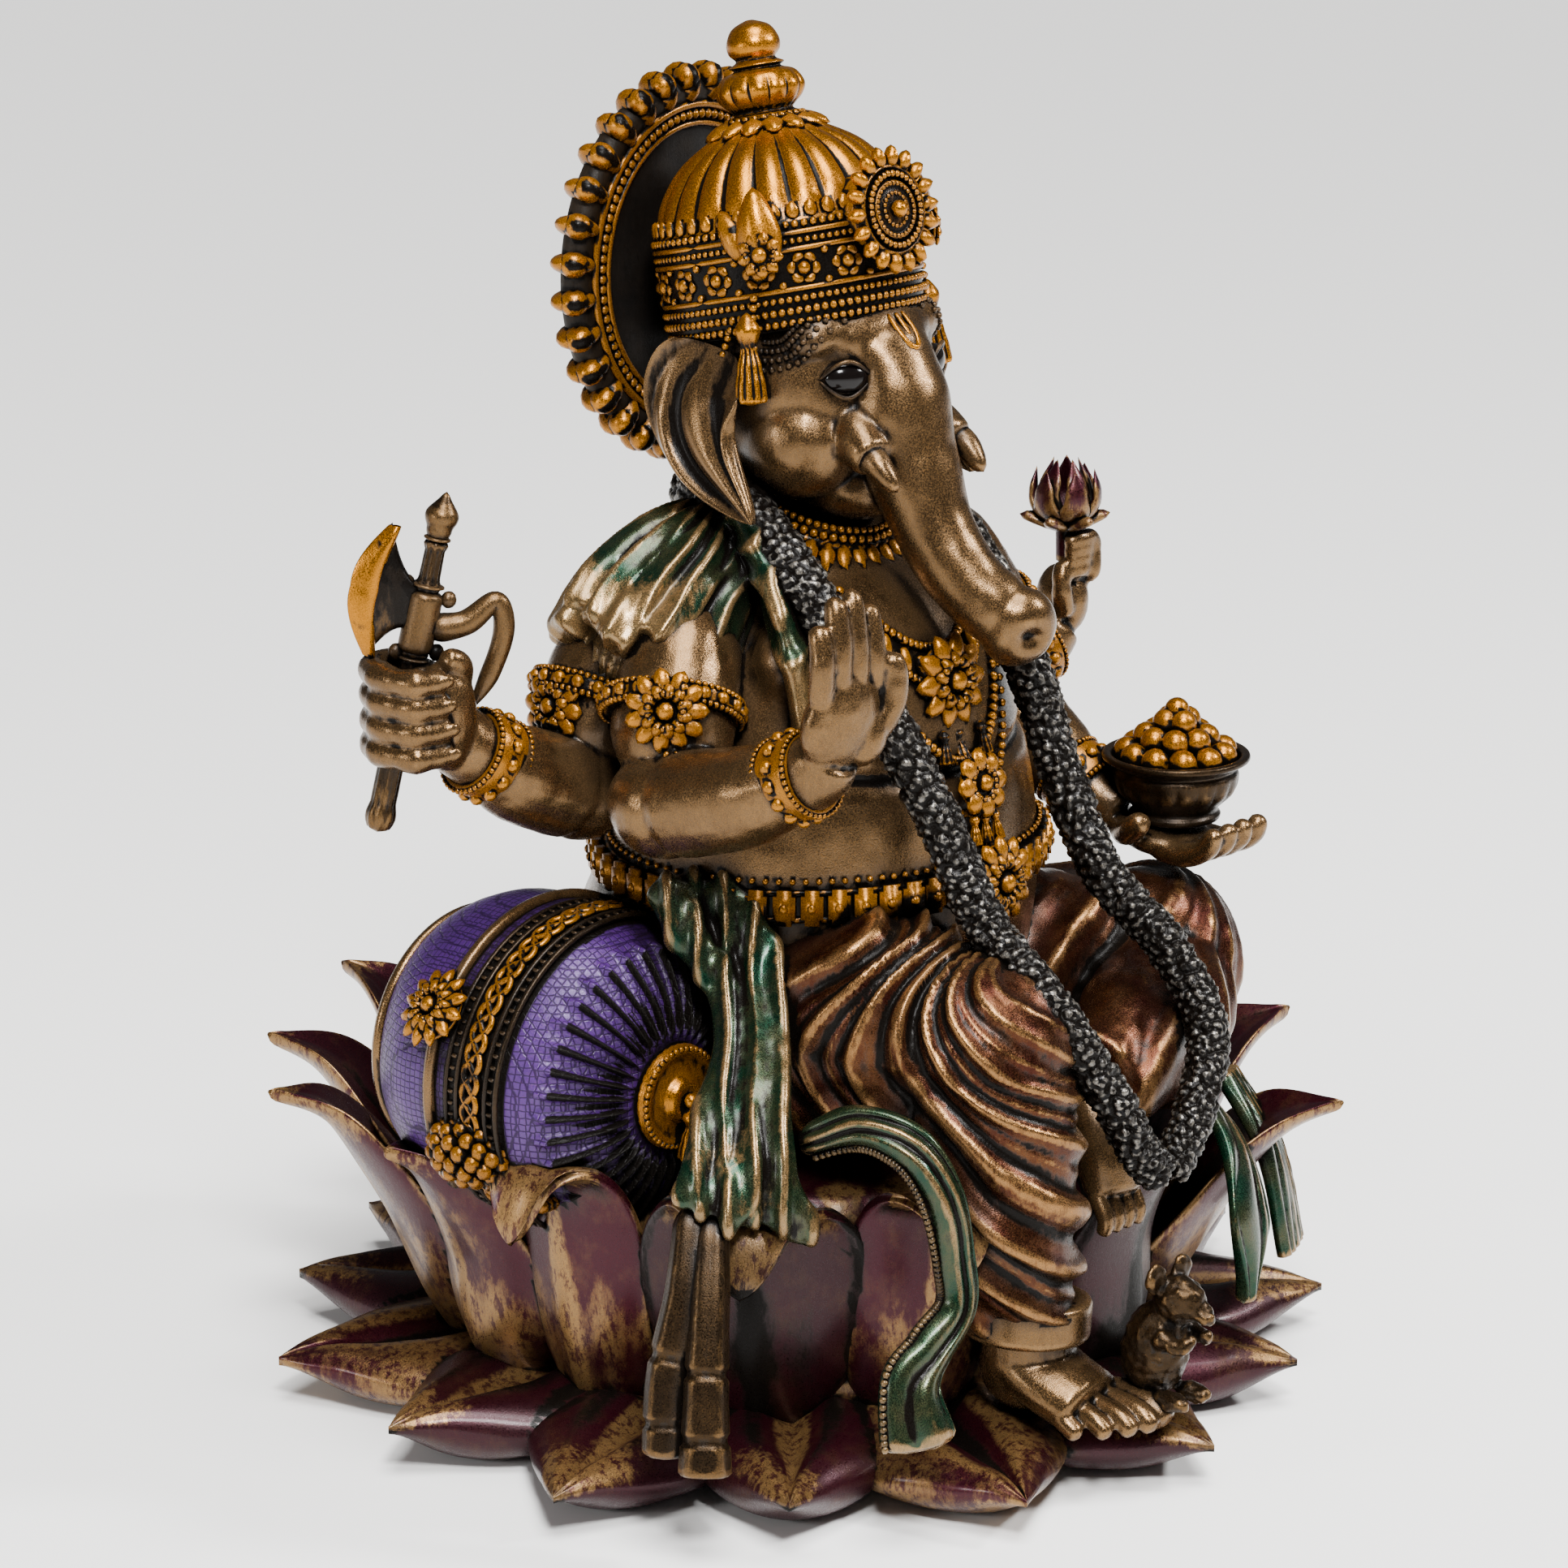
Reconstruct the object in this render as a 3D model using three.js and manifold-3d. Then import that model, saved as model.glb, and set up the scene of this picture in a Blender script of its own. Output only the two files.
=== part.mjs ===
// A seated elephant-headed deity on a lotus, as a cold-cast bronze figurine.
// Millimetres, +Z up. The figure faces -Y and its right hand side is -X.
// The origin is the middle of the flat underside of the lotus.
// Every casting is a solid of its own, let into its neighbours with a glue gap.
import * as THREE from 'three';
import { mergeVertices } from 'three/addons/utils/BufferGeometryUtils.js';
import Module from 'manifold-3d';

const wasm = await Module();
wasm.setup();

// ---------------------------------------------------------------- driving dimensions
const GLUE_GAP = 0.3; // left between two castings

const BASE_FOOT_RADIUS = 66; // the flat face it stands on
const BASE_FOOT_HEIGHT = 3;
const BASE_TIP_RADIUS = 83; // tips of the lower petals
const BASE_NOTCH_RADIUS = 70; // notches between them
const BASE_PETALS = 15;
const BASE_EDGE = 9; // top of the lower petals at their edge
const BASE_RISE = 3; // how much higher they are towards the seat

const SEAT_RADIUS = 52; // round lotus seat
const SEAT_HEIGHT = 43; // its top, above the ground

const PETAL_THICKNESS = 3;
const PETAL_ROOT_HEIGHT = 12;

const SPINE = [
  [0, 4, SEAT_HEIGHT + 1], [0, 1, 62], [0, -5, 82], [0, -6, 98], [0, -4, 114], [0, -1, 127], [0, 0, 139],
];
const GIRTH = [36, 38.5, 36.5, 33, 29, 21, 11.5]; // half widths up the spine
const DEPTH_SHARE = 0.84; // how deep the body is for its width
const SHOULDERS = { at: [0, 3, 124], size: [33, 12, 10] };
const BELT_HEIGHT = 84.5;
const BELT_WIDTH = 5.5;

const SKULL = { at: [0, -2, 158], size: [18.5, 19, 20] };
const CHEEK = { at: [8.5, -8, 149], size: 10 };
const CHIN = { at: [0, -12, 143], size: [9, 8, 6] };
const TRUNK_TIP_RADIUS = 6.2;

const CROWN_TILT = 13; // degrees, leaning back
const CROWN_FOOT = [0, 1, 168];
const CROWN_RADIUS = 19.6;
const CROWN_HEIGHT = 28;

const HALO_AT = [1, 25, 171];
const HALO_SIZE = [27, 29.8]; // half width and half height over the rim
const HALO_RIM_WIDTH = 5.5;
const HALO_DISC_THICKNESS = 3;
const HALO_TEETH = 30;

const BOLSTER_AT = [-44, 8, 57];
const BOLSTER_RADIUS = 25;
const BOLSTER_HALF_LENGTH = 24.5;

const BOWL_AT = [50, -34, 83.5];
const BOWL_RIM_RADIUS = 11.6;
const BOWL_FOOT_RADIUS = 7;
const BOWL_HEIGHT = 10.5;
const SWEET_RADIUS = 3.1;

const SHAFT_FOOT = [-73.3, 16, 97.5]; // lower end of the axe's shaft
const SHAFT_TOP = [-65.2, 10.3, 142];
const SHAFT_RADIUS = 1.9;
const AXE_PLATE = 2.6; // thickness of the blade

const GARLAND_RADIUS = 3.2;
const BAND_THICKNESS = 1.6; // bracelets, anklet and belt, over the limb
const ROSETTE_THICKNESS = 2.6;

// ---------------------------------------------------------------- materials
function finish(colour, roughness, metalness) {
  return new THREE.MeshStandardMaterial({ color: colour, roughness, metalness });
}
const MATERIALS = {
  bronze: finish(0x8a6e50, 0.42, 0.8),
  gold: finish(0xb8862f, 0.38, 0.8),
  maroon: finish(0x5c3340, 0.4, 0.6),
  copper: finish(0x7a4a38, 0.4, 0.7),
  green: finish(0x4f7a58, 0.4, 0.5),
  purple: finish(0x5a4390, 0.45, 0.1),
  silver: finish(0x6f747c, 0.5, 0.6),
  dark: finish(0x1c1614, 0.6, 0.3),
};

// ---------------------------------------------------------------- solids
function solidOf(geometry) {
  geometry.deleteAttribute('normal');
  geometry.deleteAttribute('uv');
  const merged = mergeVertices(geometry, 1e-4);
  return new wasm.Manifold(new wasm.Mesh({
    numProp: 3,
    vertProperties: merged.attributes.position.array,
    triVerts: new Uint32Array(merged.index.array),
  }));
}

function fuse(...solids) {
  return solids.reduce((whole, piece) => whole.add(piece));
}

function mainBody(solid) {
  const bodies = solid.decompose();
  return bodies.reduce((best, body) => (body.volume() > best.volume() ? body : best));
}

function meshOf(solid, name, material) {
  const made = solid.getMesh();
  const geometry = new THREE.BufferGeometry();
  geometry.setAttribute('position', new THREE.BufferAttribute(new Float32Array(made.vertProperties), 3));
  geometry.setIndex(new THREE.BufferAttribute(new Uint32Array(made.triVerts), 1));
  const mesh = new THREE.Mesh(geometry, material);
  mesh.name = name;
  return mesh;
}

function mirrored(point) {
  return [-point[0], point[1], point[2]];
}

function radians(degrees) {
  return THREE.MathUtils.degToRad(degrees);
}

// An ellipsoid, turned about X by lean degrees.
function ball(at, size, grow, lean = 0, sides = 8) {
  const [a, b, c] = Array.isArray(size) ? size : [size, size, size];
  const geometry = new THREE.SphereGeometry(1, sides, Math.round(sides * 0.7));
  geometry.rotateX(Math.PI / 2);
  geometry.scale(a + grow, b + grow, c + grow);
  geometry.rotateX(radians(lean));
  geometry.translate(...at);
  return solidOf(geometry);
}

// A round-ended tube through the points. Its radius runs through the radii, and flat squeezes
// the section towards the second radius of the pair in the direction thin.
function tube(points, radii, grow, { sides = 8, steps = 8, flat = 1, thin = [0, 0, 1] } = {}) {
  const curve = new THREE.CatmullRomCurve3(points.map((p) => new THREE.Vector3(...p)));
  const geometry = new THREE.CylinderGeometry(1, 1, 1, sides, steps);
  const place = geometry.attributes.position;
  const narrow = new THREE.Vector3(...thin).normalize();
  const tip = 0.45; // share of the radius left at the very ends
  for (let i = 0; i < place.count; i += 1) {
    const t = THREE.MathUtils.clamp(0.5 - place.getY(i), 0, 1);
    const angle = Math.atan2(place.getZ(i), place.getX(i));
    const reach = Math.min(1, Math.hypot(place.getX(i), place.getZ(i)));
    const along = curve.getTangent(t);
    const wide = new THREE.Vector3().crossVectors(along, narrow).normalize();
    const high = new THREE.Vector3().crossVectors(along, wide).normalize();
    const span = t * (radii.length - 1);
    const step = Math.min(radii.length - 2, Math.floor(span));
    const radius = THREE.MathUtils.lerp(radii[step], radii[step + 1], span - step);
    const ended = t < 1e-6 || t > 1 - 1e-6;
    const round = ended ? tip : 1;
    const end = t < 1e-6 ? -grow : t > 1 - 1e-6 ? grow : 0;
    const centre = curve.getPoint(t).addScaledVector(along, end);
    centre.addScaledVector(wide, (radius + grow) * round * reach * Math.cos(angle));
    centre.addScaledVector(high, (radius * flat + grow) * round * reach * Math.sin(angle));
    place.setXYZ(i, centre.x, centre.y, centre.z);
  }
  return solidOf(geometry);
}

// A turned piece: points are [radius, height], and it stands on its axis at a place.
function turned(profile, at, grow, { lean = 0, sides = 20, axis = 'z' } = {}) {
  const points = profile.map(([r, h]) => new THREE.Vector2(r > 0 ? r + grow : 0, h));
  points[0].y -= grow;
  points[points.length - 1].y += grow;
  const geometry = new THREE.LatheGeometry(points, sides);
  if (axis === 'z') geometry.rotateX(Math.PI / 2 + radians(lean));
  geometry.translate(...at);
  return solidOf(geometry);
}

// A round medal with its face along a direction.
function medal(at, facing, radius, thickness, grow, sides = 12) {
  const geometry = new THREE.CylinderGeometry(radius + grow, radius + grow, thickness + 2 * grow, sides, 1);
  const turn = new THREE.Quaternion().setFromUnitVectors(
    new THREE.Vector3(0, 1, 0),
    new THREE.Vector3(...facing).normalize(),
  );
  geometry.applyQuaternion(turn);
  geometry.translate(...at);
  return solidOf(geometry);
}

// ---------------------------------------------------------------- lotus
function lotusBase(grow) {
  const outline = new THREE.Shape();
  const count = BASE_PETALS * 4;
  for (let i = 0; i < count; i += 1) {
    const angle = (i / count) * Math.PI * 2 - Math.PI / 2;
    const share = Math.abs(((i / 4) % 1) * 2 - 1); // 1 at a tip, 0 in a notch
    const radius = grow + THREE.MathUtils.lerp(BASE_NOTCH_RADIUS, BASE_TIP_RADIUS, share ** 1.3);
    outline[i ? 'lineTo' : 'moveTo'](Math.cos(angle) * radius, Math.sin(angle) * radius);
  }
  const depth = BASE_EDGE - BASE_FOOT_HEIGHT + 2 * grow;
  const plate = new THREE.ExtrudeGeometry(outline, { depth, bevelEnabled: false });
  plate.translate(0, 0, BASE_FOOT_HEIGHT - grow);
  const top = BASE_EDGE + BASE_RISE;
  const rim = [BASE_FOOT_RADIUS, BASE_EDGE - 1];
  const profile = [[0, 0], [BASE_FOOT_RADIUS, 0], rim, [SEAT_RADIUS + 7, top], [0, top]];
  return fuse(solidOf(plate), turned(profile, [0, 0, 0], grow, { sides: 30 }));
}

function lotusSeat(grow) {
  const foot = BASE_EDGE + BASE_RISE + GLUE_GAP;
  const waist = SEAT_RADIUS - 6;
  const widest = [SEAT_RADIUS, SEAT_HEIGHT * 0.6];
  const profile = [[0, foot], [waist, foot], widest, [waist, SEAT_HEIGHT], [0, SEAT_HEIGHT]];
  return turned(profile, [0, 0, 0], grow, { sides: 30 });
}

// Upper petals: azimuth from the front towards the figure's left, tip radius, tip height,
// half width, and how far the tip folds over and down.
const UPPER_PETALS = [
  { turn: 12, reach: 69, top: 47, half: 9, fold: 0 },
  { turn: 37, reach: 85, top: 44, half: 10, fold: 0 },
  { turn: 62, reach: 84, top: 47, half: 10, fold: 0 },
  { turn: 90, reach: 84, top: 48, half: 12, fold: 0 },
  { turn: 118, reach: 83, top: 50, half: 12, fold: 0 },
  { turn: 146, reach: 84, top: 48, half: 12, fold: 0 },
  { turn: 174, reach: 83, top: 50, half: 12, fold: 0 },
  { turn: -160, reach: 80, top: 53, half: 10, fold: 0 },
  { turn: -140, reach: 84, top: 50, half: 9, fold: 0 },
  { turn: -122, reach: 84, top: 50, half: 8.5, fold: 0 },
  { turn: -104, reach: 72, top: 47, half: 8, fold: 0 },
  { turn: -84, reach: 66, top: 46, half: 8.5, fold: 4 },
  { turn: -53, reach: 68, top: 40, half: 10, fold: 5 },
  { turn: -29, reach: 62, top: 45, half: 7.5, fold: 5 },
];

function upperPetal({ turn, reach, top, half, fold }, grow) {
  const geometry = new THREE.BoxGeometry(1, 1, 1, 2, 6, 1);
  const place = geometry.attributes.position;
  const root = new THREE.Vector2(SEAT_RADIUS + 4, PETAL_ROOT_HEIGHT);
  const tip = new THREE.Vector2(reach, top);
  const belly = new THREE.Vector2(SEAT_RADIUS + 6 + (reach - SEAT_RADIUS) * 0.2, top * (fold ? 1.0 : 0.72));
  const line = new THREE.QuadraticBezierCurve(root, belly, tip);
  const azimuth = radians(turn - 90);
  const stretch = grow / (top - PETAL_ROOT_HEIGHT);
  for (let i = 0; i < place.count; i += 1) {
    const across = place.getX(i) * 2;
    const along = THREE.MathUtils.clamp(place.getY(i) + 0.5, 0, 1);
    const through = place.getZ(i) * 2;
    const middle = line.getPoint(along);
    const heading = line.getTangent(along);
    const round = 0.3 + 0.7 * Math.sin(Math.PI * Math.min(1, 0.22 + along * 0.62));
    const taper = along > 0.6 ? 1 - ((along - 0.6) / 0.4) ** 1.6 * 0.85 : 1;
    const width = half * round * taper + grow;
    const cup = across * across * half * 0.28 * (1 - along * 0.6);
    const skin = through * (PETAL_THICKNESS / 2 + grow) * (1 - 0.4 * along);
    const droop = fold * Math.max(0, along - 0.75) * 2;
    const push = (along - 0.5) * 2 * stretch * 20;
    const radial = middle.x + heading.y * (skin - cup) + heading.x * push + droop;
    const height = middle.y - heading.x * (skin - cup) + heading.y * push - droop;
    const side = across * width;
    place.setXYZ(
      i,
      Math.cos(azimuth) * radial - Math.sin(azimuth) * side,
      Math.sin(azimuth) * radial + Math.cos(azimuth) * side,
      height,
    );
  }
  return solidOf(geometry);
}

// ---------------------------------------------------------------- body
function torso(grow) {
  return fuse(
    tube(SPINE, GIRTH, grow, { sides: 16, steps: 10, flat: DEPTH_SHARE, thin: [0, 1, 0] }),
    ball(SHOULDERS.at, SHOULDERS.size, grow, 0, 10),
  );
}

const RIGHT_KNEE = [-18, -54, 67];
const RIGHT_ANKLE = [-14, -59, 24];
const LEFT_KNEE = [47, -33, 60];
const LEFT_ANKLE = [4, -54, 54];

function rightLeg(grow) {
  return fuse(
    tube([[-17, -6, 60], [-19, -32, 66], RIGHT_KNEE], [19, 17, 14.5], grow, { sides: 10, steps: 4 }),
    ball(RIGHT_KNEE, 14, grow),
    tube([RIGHT_KNEE, [-18, -61, 47], RIGHT_ANKLE], [13.5, 11, 7.5], grow, { sides: 10, steps: 4 }),
  );
}

function leftLeg(grow) {
  return fuse(
    tube([[16, -6, 58], [32, -20, 58], LEFT_KNEE], [18, 16, 13.5], grow, { sides: 10, steps: 4 }),
    ball(LEFT_KNEE, [14.5, 14.5, 15.5], grow),
    tube([LEFT_KNEE, [25, -49, 56], LEFT_ANKLE], [12.5, 10, 7], grow, { sides: 10, steps: 4 }),
  );
}

function rightFoot(grow) {
  return fuse(
    ball([-14, -59, 17], 7, grow),
    ball([-12, -67, 13.5], [7.2, 11, 5], grow, -8),
    tube([[-12, -69, 12.5], [-10.5, -78, 10.5]], [6.8, 6.2], grow, { flat: 0.4, steps: 3 }),
  );
}

function leftFoot(grow) {
  const sole = [[4, -55.5, 52], [3, -59.5, 45], [2, -62, 38]];
  return tube(sole, [5.2, 5.6, 4], grow, { flat: 0.8, thin: [0, -1, 0], steps: 5 });
}

// ---------------------------------------------------------------- head
const TRUNK = [
  [0, -13, 163], [0, -19, 155], [0, -23.5, 144], [0.5, -28.5, 134.5], [2, -34, 127.5], [5, -39, 124],
];
const TRUNK_RADII = [8.5, 8, 6.4, 5.8, 5.4, 5];

function head(grow) {
  return fuse(
    ball(SKULL.at, SKULL.size, grow, 0, 12),
    ball(CHEEK.at, CHEEK.size, grow),
    ball(mirrored(CHEEK.at), CHEEK.size, grow),
    ball(CHIN.at, CHIN.size, grow),
    tube(TRUNK, TRUNK_RADII, grow, { sides: 8, steps: 9 }),
    ball(TRUNK.at(-1), TRUNK_TIP_RADIUS, grow),
  );
}

function ear(side, grow) {
  const right = [[-19, 1, 161], [-23.5, -3, 153], [-24, -10, 142]];
  const lobe = side < 0 ? right : right.map(mirrored);
  return tube(lobe, [7, 9, 3.5], grow, { flat: 0.36, thin: [1, 0, 0], sides: 10, steps: 6 });
}

function tusk(side, grow) {
  const right = [[-7.5, -17, 151], [-9.5, -23, 149], [-9.2, -27.5, 144.5]];
  const line = side < 0 ? right : right.map(mirrored);
  return tube(line, [3, 2.7, 1.2], grow, { sides: 6, steps: 4 });
}

function crown(grow) {
  const r = CROWN_RADIUS;
  const h = CROWN_HEIGHT;
  const wall = [[0, -4], [r - 1.5, -4], [r, -2], [r, h * 0.28], [r * 0.99, h * 0.4]];
  const dome = [[r * 0.87, h * 0.65], [r * 0.6, h * 0.86], [r * 0.34, h * 0.96], [0, h]];
  const profile = [...wall, ...dome];
  return turned(profile, CROWN_FOOT, grow, { lean: -CROWN_TILT, sides: 20 });
}

function crownFinial(grow) {
  const foot = CROWN_HEIGHT + GLUE_GAP;
  const gourd = [[0, foot - 1], [4.6, foot - 1], [4.2, foot + 1.2], [6.2, foot + 3.6], [5.6, foot + 6.2]];
  const egg = [[3.2, foot + 7.6], [3.9, foot + 9.4], [3.4, foot + 12], [0, foot + 14]];
  const profile = [...gourd, ...egg];
  return turned(profile, CROWN_FOOT, grow, { lean: -CROWN_TILT, sides: 12 });
}

function crownMedallion(grow) {
  const facing = [0, -Math.cos(radians(CROWN_TILT)), Math.sin(radians(CROWN_TILT))];
  return medal([0, -18.4, 184], facing, 9.4, 3.2, grow, 16);
}

function ellipse(a, b, teeth = 0, depth = 0) {
  const count = teeth ? teeth * 2 : 30;
  const points = [];
  for (let i = 0; i < count; i += 1) {
    const angle = (i / count) * Math.PI * 2;
    const dip = teeth && i % 2 ? depth : 0;
    points.push(new THREE.Vector2(Math.cos(angle) * (a - dip), Math.sin(angle) * (b - dip)));
  }
  return points;
}

function upright(shape, thickness, at, grow) {
  const geometry = new THREE.ExtrudeGeometry(shape, { depth: thickness + 2 * grow, bevelEnabled: false });
  geometry.translate(0, 0, -thickness / 2 - grow);
  geometry.rotateX(Math.PI / 2);
  geometry.translate(...at);
  return solidOf(geometry);
}

function haloRim(grow) {
  const [a, b] = HALO_SIZE;
  const shape = new THREE.Shape(ellipse(a + grow, b + grow, HALO_TEETH, 1.8));
  shape.holes.push(new THREE.Path(ellipse(a - HALO_RIM_WIDTH - grow, b - HALO_RIM_WIDTH - grow)));
  return upright(shape, 5, HALO_AT, grow);
}

function haloDisc(grow) {
  const [a, b] = HALO_SIZE.map((size) => size - HALO_RIM_WIDTH - GLUE_GAP);
  const plate = upright(new THREE.Shape(ellipse(a + grow, b + grow)), HALO_DISC_THICKNESS, HALO_AT, grow);
  const [x, y, z] = HALO_AT;
  return fuse(plate, tube([[x, y - 8, z], [x, y, z]], [8, 8], grow, { steps: 2, sides: 10 }));
}

// ---------------------------------------------------------------- arms
function arm(shoulder, elbow, wrist, radii, grow) {
  const [top, bend, end] = radii;
  const middle = shoulder.map((v, i) => (v + elbow[i]) / 2);
  return fuse(
    tube([shoulder, middle, elbow], [top, (top + bend) / 2, bend], grow, { steps: 3, thin: [0, 1, 0] }),
    ball(elbow, bend, grow),
    tube([elbow, wrist], [bend, end], grow, { steps: 2 }),
  );
}

const FRONT_RIGHT = {
  shoulder: [-28, -3, 126], elbow: [-42, -12, 101], wrist: [-40, -39, 110], radii: [9.5, 8.3, 5.4],
};
const REAR_RIGHT = {
  shoulder: [-27, 9, 125], elbow: [-40, 7, 99.5], wrist: [-60, 9.5, 108.5], radii: [9, 8.3, 5],
};
const FRONT_LEFT = {
  shoulder: [28, -3, 126], elbow: [43, -2, 99], wrist: [43, -20, 87.5], radii: [9.5, 8, 5.2],
};
const REAR_LEFT = {
  shoulder: [27, 9, 125], elbow: [43, 5, 99], wrist: [60, 2.5, 103], radii: [9, 8, 5],
};

function limb({ shoulder, elbow, wrist, radii }, grow) {
  return arm(shoulder, elbow, wrist, radii, grow);
}

function frontRightArm(grow) {
  const palm = [FRONT_RIGHT.wrist, [-39, -43.5, 116], [-38.5, -44.5, 123]];
  const fingers = [[-38.5, -44.5, 120], [-38.5, -43, 137.5]];
  const thumb = [[-34, -44, 115], [-30.5, -46, 121], [-30.8, -46.5, 127.5]];
  return fuse(
    limb(FRONT_RIGHT, grow),
    tube(palm, [5.4, 8, 7], grow, { flat: 0.6, thin: [0, 1, 0], steps: 4 }),
    tube(fingers, [7, 5.4], grow, { flat: 0.4, thin: [0, 1, 0], steps: 3 }),
    tube(thumb, [3, 2.6, 1.9], grow, { sides: 6, steps: 4 }),
  );
}

function rearRightArm(grow) {
  return fuse(
    limb(REAR_RIGHT, grow),
    tube([REAR_RIGHT.wrist, [-67, 12, 114]], [5, 6], grow, { steps: 2 }),
    ball([-68.8, 12.8, 116.5], [8, 7.2, 9.6], grow, 0, 10),
  );
}

function frontLeftArm(grow) {
  const palm = [FRONT_LEFT.wrist, [47, -28, 80.5], [51, -38, 79.5]];
  return fuse(
    limb(FRONT_LEFT, grow),
    tube(palm, [5, 7.5, 6.5], grow, { flat: 0.5, steps: 5 }),
  );
}

function rearLeftArm(grow) {
  return fuse(
    limb(REAR_LEFT, grow),
    tube([REAR_LEFT.wrist, [65, 2, 110], [63.5, 1, 119]], [5, 5.6, 3.6], grow, {
      flat: 0.7,
      thin: [0, 1, 0],
      steps: 5,
    }),
  );
}

// ---------------------------------------------------------------- what the hands hold
function axe(grow) {
  const foot = new THREE.Vector3(...SHAFT_FOOT);
  const top = new THREE.Vector3(...SHAFT_TOP);
  const up = top.clone().sub(foot);
  const length = up.length();
  up.normalize();
  const blade = new THREE.Vector3(-0.8, 0.6, 0);
  const edge = blade.cross(up).cross(up).negate().normalize(); // towards the blade's edge
  const outline = new THREE.Shape();
  outline.moveTo(0, length - 10);
  outline.lineTo(4, length - 9);
  outline.lineTo(5.5, length - 4);
  outline.quadraticCurveTo(12, length - 11, 9.5, length - 21);
  outline.lineTo(6, length - 18);
  outline.lineTo(0, length - 17);
  outline.lineTo(-7.5, length - 18);
  outline.lineTo(-8, length - 10);
  const plate = new THREE.ExtrudeGeometry(outline, {
    depth: AXE_PLATE + 2 * grow,
    bevelEnabled: false,
    curveSegments: 4,
  });
  plate.translate(0, 0, -AXE_PLATE / 2 - grow);
  const face = edge.clone().cross(up);
  plate.applyMatrix4(new THREE.Matrix4().makeBasis(edge, up, face).setPosition(foot));
  const bend = [[-7, length - 13], [-10, length - 9], [-11.5, length - 14], [-9.5, length - 25]];
  const hook = bend.map(([s, t]) => foot.clone().addScaledVector(edge, s).addScaledVector(up, t).toArray());
  const knob = top.clone().addScaledVector(up, 5).toArray();
  return fuse(
    tube([SHAFT_FOOT, SHAFT_TOP], [SHAFT_RADIUS, SHAFT_RADIUS], grow, { steps: 2, thin: [0, 1, 0] }),
    tube([SHAFT_TOP, knob], [1.8, 3, 1.4], grow, { steps: 4, thin: [0, 1, 0] }),
    solidOf(plate),
    tube(hook, [1.5, 1.5, 1.4, 1], grow, { sides: 6, steps: 6, thin: [0, 1, 0] }),
  );
}

function lotusBud(grow) {
  const sepals = [[0, -6], [1.8, -6], [2, 0], [7.2, 1.8], [3.6, 2.4]];
  const profile = [...sepals, [5.6, 6], [5.4, 9], [3, 12], [0, 12]];
  return turned(profile, [63.2, 0.5, 122], grow, { sides: 12 });
}

function sweetBowl(grow) {
  const r = BOWL_RIM_RADIUS;
  const h = BOWL_HEIGHT;
  const side = [[0, 0], [BOWL_FOOT_RADIUS, 0], [r - 2, h * 0.5], [r - 1.4, h - 2]];
  const profile = [...side, [r, h - 0.8], [r, h], [0, h]];
  return turned(profile, BOWL_AT, grow, { sides: 16 });
}

function sweets(grow) {
  const [x, y, z] = BOWL_AT;
  const floor = z + BOWL_HEIGHT + GLUE_GAP;
  const balls = [];
  for (const [ring, count, lift] of [[6.6, 7, 2], [3.2, 3, 5.2]]) {
    for (let i = 0; i < count; i += 1) {
      const angle = ((i + ring * 0.1) / count) * Math.PI * 2;
      const at = [x + Math.cos(angle) * ring, y + Math.sin(angle) * ring, floor + lift];
      balls.push(ball(at, SWEET_RADIUS, grow, 0, 6));
    }
  }
  return fuse(...balls);
}

// ---------------------------------------------------------------- cushion and cloth
function bolster(grow) {
  const r = BOLSTER_RADIUS;
  const half = BOLSTER_HALF_LENGTH;
  const front = [[0, -half], [6, -half + 0.5], [13, -half + 2], [20, -half + 6.5], [r - 1.5, -half + 13]];
  const back = [[r - 1.5, half - 13], [20, half - 6.5], [10, half - 1.5], [0, half]];
  const profile = [...front, [r, 0], ...back];
  return turned(profile, BOLSTER_AT, grow, { sides: 20, axis: 'y' });
}

function shawl(grow) {
  return fuse(
    ball([-29, 3, 127], [12.5, 15, 11.5], grow, 0, 10),
    tube([[-12, 10, 137], [-19, -6, 137], [-23, -19, 122], [-27, -22, 107]], [7, 6.5, 6, 5], grow, {
      flat: 0.5,
      thin: [0.6, -0.8, 0.3],
    }),
  );
}

function sideDrape(grow) {
  return tube(
    [
      [-30, -18, 92], [-33, -15, 77], [-41, -28, 63], [-50, -38, 52],
      [-58, -44, 38], [-62, -44, 24], [-63, -44, 13],
    ],
    [5, 8, 8.5, 8, 6.5, 5.5, 5.5],
    grow,
    { flat: 0.42, thin: [-0.7, -0.7, 0.3], steps: 12 },
  );
}

function frontSash(grow) {
  return tube(
    [[-37, -50, 55], [-32, -58, 50], [-27, -64, 41], [-33, -66, 32], [-36, -66, 22], [-35, -66, 14]],
    [3.5, 4.5, 5, 5.5, 5, 6],
    grow,
    { flat: 0.5, thin: [-0.6, -0.8, 0], steps: 10 },
  );
}

function leftSash(grow) {
  return tube(
    [[32, -48, 46], [29, -60, 41], [25, -68, 31], [24, -70, 18]],
    [6, 6, 6.5, 5.5],
    grow,
    { flat: 0.4, thin: [0.3, -1, 0.1], steps: 6 },
  );
}

const GARLAND_RIGHT = [
  [-3, -71.5, 49], [-8, -68, 61], [-14, -60, 76], [-13, -47, 84], [-15, -40, 99],
  [-18, -30, 116], [-20, -18, 131], [-17, -4, 139.5], [-11, 11, 137.5],
];
const GARLAND_LEFT = [
  [11, 11, 137.5], [17, -4, 139.5], [19, -16, 131], [17, -28.5, 116], [17, -37, 99],
  [18, -44, 84], [21, -54, 74], [20, -64, 63], [12, -69, 54], [4, -71.5, 49],
];

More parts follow.
